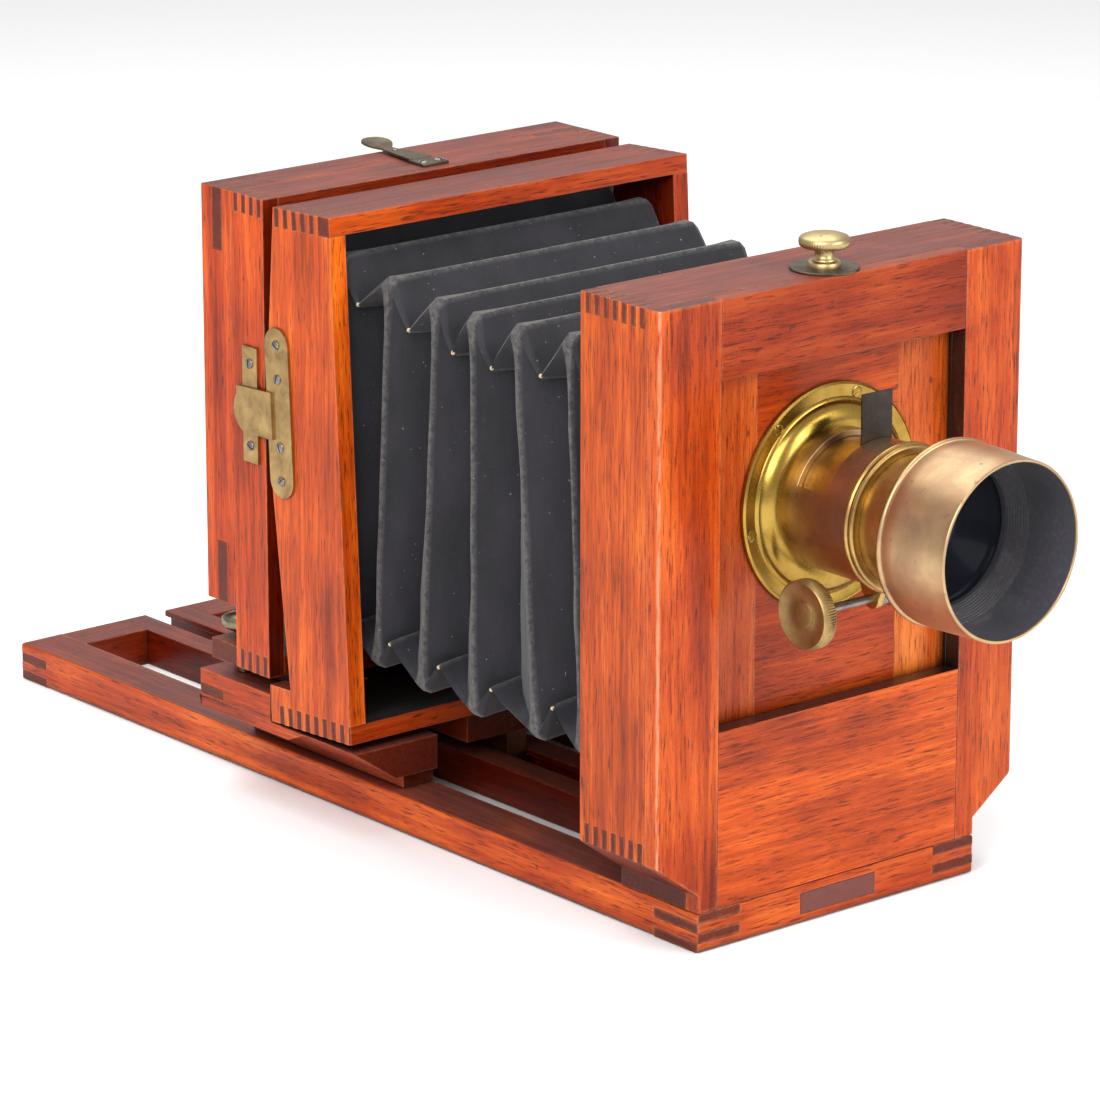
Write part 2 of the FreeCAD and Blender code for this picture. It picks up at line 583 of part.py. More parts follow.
def make_lens():
    """Barrel with its rack, hood, cell and glasses, all on the lens axis."""
    tube = lens_rod("barrel_tube", "barrel_radius", "-lens_board_thick", "barrel_front")
    inside = lens_rod("barrel_inside", "barrel_radius - barrel_wall", "-lens_board_thick", "barrel_front")
    slot = box("barrel_stop_slot", ("-barrel_radius", "barrel_radius"),
               (ahead("stop_place + stop_thick / 2 + slide_gap"),
                ahead("stop_place - stop_thick / 2 - slide_gap")),
               ("lens_height", "lens_height + barrel_radius + 1"))
    keep(cut("lens_barrel", tube, inside, slot))
    bar = box("rack_bar", ("-rack_width / 2", "rack_width / 2"),
              (ahead("pinion_place + rack_length / 2 + 4"), ahead("pinion_place - rack_length / 2 + 4")),
              ("lens_height - barrel_radius - rack_height", "lens_height - barrel_radius + 1.5"))
    keep(cut("focus_rack", bar, lens_rod("rack_seat", "barrel_radius", "0", "barrel_front")))

    front = "hood_start + hood_length"
    shell = lens_cone("hood_shell", "hood_start", front, "hood_rear", "hood_front")
    hollow = lens_cone("hood_hollow", "hood_start + hood_back", front,
                       "hood_rear - hood_wall", "hood_front - hood_wall")
    bore = lens_rod("hood_bore", "barrel_radius - barrel_wall", "hood_start - 1", "hood_start + hood_back")
    keep(cut("lens_hood", shell, hollow, bore))
    cell_start = "hood_start + hood_back"
    cell = lens_rod("cell_ring", "cell_radius", cell_start, f"{cell_start} + cell_length")
    cell_bore = lens_rod("cell_bore", "glass_radius - 1.5", cell_start, f"{cell_start} + cell_length")
    seat = lens_rod("cell_seat", "glass_radius", f"{cell_start} + 2", f"{cell_start} + 2 + glass_thick")
    keep(cut("front_lens_cell", cell, cell_bore, seat))
    keep(lens_rod("front_lens", "glass_radius", f"{cell_start} + 2", f"{cell_start} + 2 + glass_thick"))
    keep(lens_rod("rear_lens", "barrel_radius - barrel_wall", "2", "2 + rear_glass_thick"))

    y = (ahead("stop_place + stop_thick / 2"), ahead("stop_place - stop_thick / 2"))
    disc = rod("stop_disc", "y", AXIS, "stop_radius", *y)
    tab = box("stop_tab_plate", ("-stop_tab / 2", "stop_tab / 2"), y,
              ("lens_height + stop_radius - 6", "lens_height + stop_top"))
    keep(cut("aperture_stop", fuse("stop_blank", disc, tab), rod("stop_opening", "y", AXIS, "stop_hole", *y)))


def make_pinion():
    """The pinion on its shaft, and the focus knob on the shaft's end."""
    centre = (ahead("pinion_place"), pinion_height())
    knob_inner = "-focus_knob_place + focus_knob_thick"
    shaft = rod("pinion_shaft", "x", centre, "shaft_radius", knob_inner, "housing_half + 1.5")
    gear = rod("pinion_gear", "x", centre, "pinion_radius", "-pinion_width / 2", "pinion_width / 2")
    keep(fuse("focus_pinion", shaft, gear))
    disc = rod("focus_knob_disc", "x", centre, "focus_knob_radius", "-focus_knob_place", knob_inner)
    dish = rod("focus_knob_dish", "x", centre, "focus_knob_radius - 3.5",
               "-focus_knob_place", "-focus_knob_place + 2")
    boss = rod("focus_knob_boss", "x", centre, "5", "-focus_knob_place", "-focus_knob_place + 2")
    keep(cut("focus_knob", disc, cut("focus_knob_ring", dish, boss)))


# ---------------------------------------------------------------- carriage
def make_carriage():
    """Runners, cheeks, rear rail, centre block, tongue and riser."""
    y = ("carriage_front", "carriage_rear")
    inner = f"{BED_HALF} - side_rail - slide_gap"
    clear = "bed_height + slide_gap"
    outline = wedge("runner_outline", y, (f"-({BED_HALF})", BED_HALF), (f"-({HALF})", HALF),
                    ("runner_bottom", "seat_height"), upright="x")
    shoe_outer = f"{inner} + shoe_width"
    cheek_inner = f"{HALF} - cheek_width"
    rail_y = ("carriage_rear - carriage_rail", "carriage_rear")
    key_z = ("cheek_bottom + 8", "cheek_bottom + 8 + key_height")
    runners, cheeks, keys = [], [], []
    for side in SIDES:
        body = common(f"runner_{side}_body", outline,
                      box(f"runner_{side}_half", span(side, inner, HALF), y,
                          ("runner_bottom", "seat_height")))
        shoe = box(f"runner_{side}_shoe", span(side, inner, shoe_outer),
                   ("carriage_front + 4", "carriage_rear"), (clear, "runner_bottom"))
        guide_y = ("carriage_front + guide_set_back", "carriage_front + guide_set_back + guide_length")
        guide = box(f"runner_{side}_guide", span(side, f"{inner} - guide_thick", inner), guide_y,
                    ("bed_height - guide_depth", "seat_height"))
        runners.append(fuse(f"runner_{side}", body, shoe, guide))
        upper = box(f"cheek_{side}_upper", span(side, cheek_inner, HALF), ("cheek_front", "carriage_rear"),
                    ("seat_height", "cheek_top"))
        lower = wedge(f"cheek_{side}_lower", span(side, f"{HALF} - 12", HALF),
                      ("cheek_front - cheek_slope / 2", "carriage_rear"),
                      ("cheek_front - cheek_slope", "carriage_rear"), ("cheek_bottom", "seat_height"))
        skirt = cut(f"cheek_{side}_skirt", lower, body)
        key = box(f"rear_key_{side}", span(side, cheek_inner, HALF), rail_y, key_z)
        keys.append(key)
        cheeks.append(cut(f"cheek_{side}", fuse(f"cheek_{side}_blank", upper, skirt), key))
    keep(group("carriage_runners", *runners))
    keep(group("carriage_cheeks", *cheeks))
    across = (f"-({cheek_inner})", cheek_inner)
    rail = box("rear_rail_middle", across, rail_y, ("seat_height", "cheek_top"))
    keep(fuse("carriage_rear_rail", rail, *keys))
    block_y = ("carriage_front + 14", "carriage_rear - carriage_rail")
    keep(box("carriage_centre_block", ("-centre_half", "centre_half"), (block_y[0], "carriage_rear"),
             ("centre_bottom", "seat_height")))
    stem = box("tongue_stem", ("-tongue_half", "tongue_half"), block_y,
               ("bed_height - lip - 1", "centre_bottom"))
    head = box("tongue_head_bar", ("-tongue_head", "tongue_head"), block_y,
               ("tongue_bottom", "bed_height - lip - slide_gap"))
    keep(fuse("carriage_tongue", stem, head))
    side = f"{HALF} - riser_side"
    keep(box("back_riser", (f"-({side})", side), ("back_front + 2", "carriage_rear - 6"),
             ("cheek_top", "back_bottom")))


# ---------------------------------------------------------------- back box and focusing back
BACK_REAR = "back_front + back_depth"


def make_back_box():
    """A shallow box with finger joints; its bottom board runs back as a foot."""
    y = ("back_front", BACK_REAR)
    inside = f"{HALF} - board"
    low = ("back_bottom", "back_bottom + foot_thick")
    high = ("top_height - board", "top_height")
    first = "back_front + pitch / 4"
    fingers = 4
    screws, plates, low_combs, high_combs = [], [], [], []
    for side in SIDES:
        low_comb = comb(f"back_low_fingers_{side}", span(side, inside, HALF), first, fingers, low)
        high_comb = comb(f"back_high_fingers_{side}", span(side, inside, HALF), first, fingers, high)
        blank = box(f"back_side_{side}_blank", span(side, inside, HALF), y, ("back_bottom", "top_height"))
        face = HALF if side == "right" else f"-({HALF})"
        out = 1 if side == "right" else -1
        plate_middle = "pivot_height + back_plate_lift"
        plate_z = (f"{plate_middle} - back_plate_height / 2", f"{plate_middle} + back_plate_height / 2")
        plate_y = ("pivot_back - back_plate_width / 2", "pivot_back + back_plate_width / 2")
        plate = box(f"back_plate_{side}", span(side, HALF, f"{HALF} + leaf_thick"), plate_y, plate_z)
        plate_face = f"{face} + ({out}) * leaf_thick"
        for number, height in enumerate((f"{plate_middle} + back_plate_height / 2 - 9",
                                         f"{plate_middle} - back_plate_height / 2 + 9")):
            screws.append(screw(f"back_plate_screw_{side}_{number}", "x", ("pivot_back", height),
                                plate_face, -out))
        pin_hole = rod(f"back_pin_hole_{side}", "x", ("pivot_back", "pivot_height"),
                       "pivot_pin + running_gap", *span(side, f"{HALF} - pin_length", f"{HALF} + leaf_thick"))
        near = screws[-2:]
        keep(cut(f"back_side_board_{side}", blank, low_comb, high_comb, pin_hole, *near))
        plates.append(cut(f"back_plate_{side}_drilled", plate, pin_hole, *near))
        low_combs.append(low_comb)
        high_combs.append(high_comb)
    keep(group("back_hinge_plates", *plates))
    across = (f"-({inside})", inside)
    middle = box("back_bottom_middle", across, y, low)
    foot = box("back_foot", (f"-({HALF})", HALF), (BACK_REAR, f"{BACK_REAR} + foot_reach"), low)
    stems = [rod(f"thumb_hole_{side}", "z", thumb_centre(side), "thumb_neck - 1 + slide_gap", *low)
             for side in SIDES]
    keep(cut("back_bottom_board", fuse("back_bottom_blank", middle, foot, *low_combs), *stems))
    latch_z = "top_height + latch_thick"
    latch_end = f"{BACK_REAR} - 4"
    latch_start = f"{latch_end} - latch_length"
    latch_screws = [screw(f"latch_screw_{side}", "z", (from_centre(side, "5.5"), f"{latch_start} + 4.5"),
                          latch_z, -1) for side in SIDES]
    keep(cut("back_top_board", fuse("back_top_blank", box("back_top_middle", across, y, high),
                                    *high_combs), *latch_screws))
    base = box("latch_base_plate", ("-latch_width / 2", "latch_width / 2"), (latch_start, latch_end),
               ("top_height", latch_z))
    lugs = [box(f"latch_lug_{side}", span(side, "strip_front / 2 + slide_gap", "latch_width / 2"),
                (f"{latch_pivot_y()} - 3", latch_end), (latch_z, f"{latch_z} + 5")) for side in SIDES]
    pin = rod("latch_pin_hole", "x", (latch_pivot_y(), latch_pivot_z()), "latch_pivot / 2 + running_gap",
              "-latch_width / 2", "latch_width / 2")
    keep(cut("latch_base", fuse("latch_base_blank", base, *lugs), pin, *latch_screws))
    keep(group("back_screws", *screws, *latch_screws))


def latch_pivot_y():
    """Y of the latch's pivot, near the rear of its base."""
    return f"{BACK_REAR} - 7"


def latch_pivot_z():
    """Height of the latch's pivot."""
    return "top_height + latch_thick + 2.6"


def make_latch():
    """A tapering strip on a cross pin, with a round paddle over the focusing back."""
    z = ("top_height + latch_thick + 0.6", "top_height + latch_thick + 2")
    pivot = latch_pivot_y()
    knuckle = rod("latch_knuckle", "x", (pivot, latch_pivot_z()), "latch_pivot",
                  "-strip_front / 2", "strip_front / 2")
    pin = rod("latch_pin", "x", (pivot, latch_pivot_z()), "latch_pivot / 2",
              "-latch_width / 2", "latch_width / 2")
    strip = box("latch_strip_bar", ("-strip_front / 2 + 1", "strip_front / 2 - 1"),
                (pivot, f"{pivot} + strip_reach"), z)
    paddle = rod("latch_paddle", "z", ("0", f"{pivot} + strip_reach"), "paddle_radius", *z)
    stud = rod("latch_stud", "z", ("0", f"{BACK_REAR} + 14"), "2", "top_height + slide_gap", z[1])
    keep(fuse("back_latch", knuckle, pin, strip, paddle, stud))


def thumb_centre(side):
    """X and Y of a thumb knob on the foot."""
    return (from_centre(side, f"{HALF} - thumb_side"), f"{BACK_REAR} + thumb_back")


def make_thumb_knobs():
    """A brass knob with a stem through the foot at each side."""
    top = "back_bottom + foot_thick"
    for side in SIDES:
        centre = thumb_centre(side)
        stem = rod(f"thumb_stem_{side}", "z", centre, "thumb_neck - 1", "cheek_top + slide_gap", top)
        neck = rod(f"thumb_neck_{side}", "z", centre, "thumb_neck", f"{top} + 0.1",
                   f"{top} + thumb_neck_height")
        throat = rod(f"thumb_throat_{side}", "z", centre, "thumb_neck - 1", top, f"{top} + 0.1")
        head = rod(f"thumb_head_{side}", "z", centre, "thumb_radius", f"{top} + thumb_neck_height",
                   f"{top} + thumb_neck_height + thumb_thick")
        keep(fuse(f"back_thumb_knob_{side}", stem, throat, neck, head))


def make_focusing_back():
    """Stiles and rails with bridle joints round a pane of ground glass."""
    front = f"{BACK_REAR} + slide_gap"
    y = (front, f"{front} + screen_depth")
    inner = f"{HALF} - screen_rail"
    z = ("screen_bottom", "top_height")
    tenon_y = (f"{front} + bridle_set", f"{front} + bridle_set + bridle")
    rails = {"bottom": ("screen_bottom", "screen_bottom + screen_rail"),
             "top": ("top_height - screen_rail", "top_height")}
    glass_y = (f"{front} + glass_set", f"{front} + glass_set + screen_glass")
    rebate = box("glass_rebate_space", (f"-({inner} + glass_rebate)", f"{inner} + glass_rebate"),
                 (glass_y[0], f"{y[1]} + 1"),
                 ("screen_bottom + screen_rail - glass_rebate", "top_height - screen_rail + glass_rebate"))
    tenons = {(name, side): box(f"screen_tenon_{name}_{side}", span(side, inner, HALF), tenon_y, limits)
              for name, limits in rails.items() for side in SIDES}
    stiles, bars = [], []
    for side in SIDES:
        stile = box(f"screen_stile_{side}_blank", span(side, inner, HALF), y, z)
        stiles.append(cut(f"screen_stile_{side}", stile, tenons["bottom", side], tenons["top", side], rebate))
    for name, limits in rails.items():
        rail = box(f"screen_rail_{name}_blank", (f"-({inner})", inner), y, limits)
        bars.append(cut(f"screen_rail_{name}", fuse(f"screen_rail_{name}_whole", rail, tenons[name, "left"],
                                                    tenons[name, "right"]), rebate))
    keep(group("screen_stiles", *stiles))
    keep(group("screen_rails", *bars))
    keep(box("ground_glass", (f"-({inner} + glass_rebate)", f"{inner} + glass_rebate"), glass_y,
             ("screen_bottom + screen_rail - glass_rebate", "top_height - screen_rail + glass_rebate")))


# ---------------------------------------------------------------- swing frame
def lean(item):
    """Lean a finished piece of the upright swing frame back about the side pivots."""
    item.Placement.Rotation = FreeCAD.Rotation(V(-1, 0, 0), 1)
    bind(item, "Placement.Rotation.Angle", "swing_lean")
    y = "(pivot_back - origin_back)"
    bind(item, "Placement.Base.y",
         f"{y} - {y} * cos(swing_lean) - pivot_height * sin(swing_lean)")
    bind(item, "Placement.Base.z",
         f"pivot_height + {y} * sin(swing_lean) - pivot_height * cos(swing_lean)")
    return keep(item)


def make_swing_frame():
    """Side boards with a V-shaped rear edge, joined to a top and a deeper bottom board."""
    inside = f"{HALF} - board"
    top = "swing_bottom + swing_height"
    high = (f"{top} - board", top)
    low = ("swing_bottom", "swing_bottom + board")
    foot_top = "swing_bottom + swing_foot_height"

    def rear(depth):
        return ("swing_front", f"swing_front + {depth}")

    combs = {}
    for name, z, count in (("low", low, 8), ("high", high, 5)):
        front = rear(f"swing_{name}_front")
        for side in SIDES:
            combs[side, name] = comb(f"swing_{name}_fingers_{side}", span(side, inside, HALF),
                                     f"{front[1]} + swing_pitch / 2", count, z, "swing_pitch", front)
    screws, leaves = [], []
    for side in SIDES:
        x = span(side, inside, HALF)
        upper = wedge(f"swing_{side}_upper", x, rear("swing_mid_depth"), rear("swing_top_depth"),
                      ("pivot_height", top))
        lower = wedge(f"swing_{side}_lower", x, rear("swing_low_depth"), rear("swing_mid_depth"),
                      (foot_top, "pivot_height"))
        foot = box(f"swing_{side}_foot", x, rear("swing_foot_depth"), ("swing_bottom", foot_top))
        out = 1 if side == "right" else -1
        face = HALF if side == "right" else f"-({HALF})"
        leaf_rear = "swing_front + swing_mid_depth - 3"
        leaf_x = span(side, HALF, f"{HALF} + leaf_thick")
        half_width = "leaf_width / 2"
        middle = f"{leaf_rear} - {half_width}"
        straight = "leaf_height / 2 - leaf_width / 2"
        leaf_z = (f"pivot_height + leaf_lift - ({straight})", f"pivot_height + leaf_lift + {straight}")
        leaf = [box(f"leaf_{side}_plate", leaf_x, (f"{leaf_rear} - leaf_width", leaf_rear), leaf_z)]
        for name, z in zip(("low", "high"), leaf_z):
            leaf.append(rod(f"leaf_{side}_{name}", "x", (middle, z), half_width, *leaf_x))
        tab_x = span(side, f"{HALF} + leaf_thick", f"{HALF} + 2 * leaf_thick")
        tab_gap_x = span(side, f"{HALF} + leaf_thick + 0.1", f"{HALF} + 2 * leaf_thick")
        leaf.append(box(f"leaf_{side}_lap", tab_x, (f"{leaf_rear} - 5", leaf_rear),
                        ("pivot_height - tab_height / 2", "pivot_height + tab_height / 2")))
        leaf.append(box(f"leaf_{side}_tab", tab_gap_x, (f"{leaf_rear}", "pivot_back"),
                        ("pivot_height - tab_height / 2 + 0.3", "pivot_height + tab_height / 2")))
        leaf.append(box(f"leaf_{side}_shoulder", tab_gap_x, ("pivot_back", "pivot_back + tab_reach - 3"),
                        ("pivot_height", "pivot_height + tab_height / 2")))
        leaf.append(rod(f"leaf_{side}_round", "x", ("pivot_back", "pivot_height"), "tab_reach", *tab_gap_x))
        ends = span(side, f"{HALF} - pin_length + 0.5", f"{HALF} + 2 * leaf_thick")
        leaf.append(rod(f"leaf_{side}_pin", "x", ("pivot_back", "pivot_height"), "pivot_pin", *ends))
        near = [screw(f"leaf_screw_{side}_{number}", "x",
                      (middle, f"pivot_height + leaf_lift + {number} * leaf_height / 5"),
                      f"{face} + ({out}) * leaf_thick", -out) for number in (-2, -1, 1, 2)]
        screws += near
        leaves.append(cut(f"leaf_{side}", fuse(f"leaf_{side}_blank", *leaf), *near))
        lean(cut(f"swing_side_board_{side}", fuse(f"swing_{side}_blank", upper, lower, foot),
                 combs[side, "low"], combs[side, "high"], *near))
    across = (f"-({inside})", inside)
    lean(fuse("swing_top_board", box("swing_top_middle", across, rear("swing_top_depth"), high),
              combs["left", "high"], combs["right", "high"]))
    lean(fuse("swing_bottom_board", box("swing_bottom_middle", across, rear("swing_foot_depth"), low),
              combs["left", "low"], combs["right", "low"]))
    lean(group("swing_hinge_leaves", *leaves))
    lean(group("swing_screws", *screws))


# ---------------------------------------------------------------- bellows
def make_bellows():
    """The space of the pleated bellows as a plain square tube."""
    y = (f"{CHANNEL_REAR} + bellows_gap", "back_front - bellows_gap")
    outer = box("bellows_outer", ("-bellows_half", "bellows_half"), y, ("bellows_bottom", "bellows_top"))
    inner = "bellows_half - bellows_wall"
    hollow = box("bellows_hollow", (f"-({inner})", inner), y,
                 ("bellows_bottom + bellows_wall", "bellows_top - bellows_wall"))
    keep(cut("bellows", outer, hollow))


make_bed()
make_front_box()
make_clamp_knob()
make_lens_board()
make_lens()
make_pinion()
make_carriage()
make_back_box()
make_latch()
make_thumb_knobs()
make_focusing_back()
make_swing_frame()
make_bellows()
doc.recompute()

faults = [f"{item.Label}: {item.State}" for item in doc.Objects
          if "Invalid" in item.State or "Error" in item.State]
for node in nodes:
    if node.Shape.isNull() or not node.Shape.isValid() or not node.Shape.Solids:
        faults.append(f"{node.Label}: shape is null, broken or has no solid")
if faults:
    raise SystemExit("\n".join(faults))
os.makedirs("parts", exist_ok=True)
for node in nodes:
    node.Shape.exportStep(f"parts/{node.Label}.step")
print(len(nodes), "sub-parts written")
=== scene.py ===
import bpy
import bmesh
import json
import math
import random
from mathutils import Matrix, Vector, noise


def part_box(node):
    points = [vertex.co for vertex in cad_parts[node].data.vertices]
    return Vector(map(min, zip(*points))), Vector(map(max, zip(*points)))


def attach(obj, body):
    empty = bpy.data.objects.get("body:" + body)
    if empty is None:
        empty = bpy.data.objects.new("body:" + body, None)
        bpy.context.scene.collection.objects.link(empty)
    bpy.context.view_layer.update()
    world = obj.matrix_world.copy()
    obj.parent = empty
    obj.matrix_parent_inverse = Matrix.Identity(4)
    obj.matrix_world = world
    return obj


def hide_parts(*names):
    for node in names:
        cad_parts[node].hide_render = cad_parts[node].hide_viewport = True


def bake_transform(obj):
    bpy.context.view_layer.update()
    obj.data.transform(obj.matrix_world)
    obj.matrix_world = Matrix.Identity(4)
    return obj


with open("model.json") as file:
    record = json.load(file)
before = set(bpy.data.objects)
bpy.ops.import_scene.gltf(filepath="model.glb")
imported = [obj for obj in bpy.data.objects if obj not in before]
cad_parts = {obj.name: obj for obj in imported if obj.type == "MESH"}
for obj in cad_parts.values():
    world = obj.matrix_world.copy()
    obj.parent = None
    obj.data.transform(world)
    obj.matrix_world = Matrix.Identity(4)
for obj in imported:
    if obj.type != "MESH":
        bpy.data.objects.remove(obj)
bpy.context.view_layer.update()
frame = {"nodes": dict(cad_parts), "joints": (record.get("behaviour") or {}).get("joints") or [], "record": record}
RECORD = frame["record"]
BODY = {node: body for body, nodes in RECORD["behaviour"]["bodies"].items() for node in nodes}
MM = 0.001


# ---- materials
MIX_FIRST, MIX_SECOND, MIX_RESULT = 6, 7, 2  # the colour sockets of a Mix node


class Shader:
    """A small helper that adds nodes to one material and links them."""

    def __init__(self, name):
        self.material = bpy.data.materials.new(name)
        self.material.use_nodes = True
        self.tree = self.material.node_tree
        self.bsdf = self.tree.nodes["Principled BSDF"]
        self.coords = self.tree.nodes.new("ShaderNodeTexCoord")

    def node(self, kind, **values):
        """A new node with its properties or sockets set by name."""
        made = self.tree.nodes.new("ShaderNode" + kind)
        for key, value in values.items():
            if hasattr(made, key):
                setattr(made, key, value)
            else:
                made.inputs[key].default_value = value
        return made

    def link(self, source, target):
        self.tree.links.new(source, target)

    def set(self, **values):
        """Plain values for the shader's own sockets."""
        for key, value in values.items():
            self.bsdf.inputs[key.replace("_", " ")].default_value = value

    def stretched(self, scale, offset=(0, 0, 0), turn=(0, 0, 0)):
        """Object coordinates, scaled along each axis."""
        mapping = self.node("Mapping")
        mapping.inputs["Scale"].default_value = scale
        mapping.inputs["Location"].default_value = offset
        mapping.inputs["Rotation"].default_value = turn
        self.link(self.coords.outputs["Object"], mapping.inputs["Vector"])
        return mapping.outputs["Vector"]

    def noise(self, vector, detail, rough, distortion=0.0):
        made = self.node("TexNoise")
        made.inputs["Scale"].default_value = 1.0
        made.inputs["Detail"].default_value = detail
        made.inputs["Roughness"].default_value = rough
        made.inputs["Distortion"].default_value = distortion
        self.link(vector, made.inputs["Vector"])
        return made.outputs["Fac"]

    def even(self, scale, detail, rough, distortion=0.0, offset=(0, 0, 0)):
        """Noise that has one scale in all directions."""
        return self.noise(self.stretched((scale,) * 3, offset), detail, rough, distortion)

    def ramp(self, factor, stops):
        """A colour from a list of (place, colour)."""
        made = self.node("ValToRGB")
        band = made.color_ramp
        while len(band.elements) < len(stops):
            band.elements.new(0.5)
        for element, (place, colour) in zip(band.elements, stops):
            element.position = place
            element.color = colour if len(colour) == 4 else (*colour, 1.0)
        self.link(factor, made.inputs["Fac"])
        return made.outputs["Color"]

    def level(self, factor, low, high):
        """0 below low, 1 above high."""
        made = self.node("MapRange")
        made.inputs["From Min"].default_value = low
        made.inputs["From Max"].default_value = high
        made.clamp = True
        self.link(factor, made.inputs["Value"])
        return made.outputs["Result"]

    def math(self, operation, first, second=None):
        made = self.node("Math", operation=operation)
        for socket, value in zip(made.inputs, (first, second)):
            if value is None:
                continue
            if isinstance(value, (int, float)):
                socket.default_value = value
            else:
                self.link(value, socket)
        return made.outputs["Value"]

    def times(self, first, second):
        return self.math("MULTIPLY", first, second)

    def plus(self, first, second):
        return self.math("ADD", first, second)

    def mix(self, factor, first, second, blend="MIX"):
        made = self.node("Mix", data_type="RGBA", blend_type=blend)
        sockets = (made.inputs["Factor"], made.inputs[MIX_FIRST], made.inputs[MIX_SECOND])
        for socket, value in zip(sockets, (factor, first, second)):
            if isinstance(value, (int, float)):
                socket.default_value = value
            elif isinstance(value, tuple):
                socket.default_value = (*value, 1.0)[:4]
            else:
                self.link(value, socket)
        return made.outputs[MIX_RESULT]

    def facing(self, axis):
        """How squarely the surface faces along an axis of its own, from -1 to 1."""
        split = self.node("SeparateXYZ")
        self.link(self.coords.outputs["Normal"], split.inputs["Vector"])
        return split.outputs["XYZ".index(axis)]

    def cavity(self, distance):
        """1 in the open, towards 0 where other surfaces are near: for dirt and painted shade in corners and where
        parts meet.
        """
        made = self.node("AmbientOcclusion", samples=6)
        made.inputs["Distance"].default_value = distance
        return made.outputs["AO"]

    def edge(self, radius):
        """Above 0 near an edge, where polish rubs off and a painted highlight runs."""
        soft = self.node("Bevel", samples=4)
        soft.inputs["Radius"].default_value = radius
        flat = self.node("NewGeometry")
        dot = self.node("VectorMath", operation="DOT_PRODUCT")
        self.link(soft.outputs["Normal"], dot.inputs[0])
        self.link(flat.outputs["Normal"], dot.inputs[1])
        return self.math("SUBTRACT", 1.0, dot.outputs["Value"])

    def bump(self, height, strength, distance):
        made = self.node("Bump")
        made.inputs["Strength"].default_value = strength
        made.inputs["Distance"].default_value = distance
        self.link(height, made.inputs["Height"])
        self.link(made.outputs["Normal"], self.bsdf.inputs["Normal"])


WOOD_DARK = (0.150, 0.0125, 0.0015)
WOOD_MID = (0.46, 0.058, 0.0035)
WOOD_LIGHT = (0.74, 0.150, 0.013)
PORE = (0.075, 0.009, 0.003)
SWEEP = (0.10, 0.011, 0.003)
STREAK = (0.15, 0.015, 0.003)
END_DARK = (0.034, 0.0055, 0.003)
END_LIGHT = (0.105, 0.014, 0.006)
LINT = (0.40, 0.33, 0.31)
STAIN = (0.045, 0.009, 0.005)
DIRT_AND_SHADE = (0.045, 0.008, 0.003)
RUBBED_AND_HIGHLIT_WOOD = (0.62, 0.25, 0.12)
BARE_AND_HIGHLIT_WOOD = (0.68, 0.34, 0.20)
TOP_DULL = ((0.085, 0.026, 0.021), (0.150, 0.050, 0.042))
TOP_BLACK = ((0.008, 0.006, 0.006), (0.030, 0.026, 0.027))


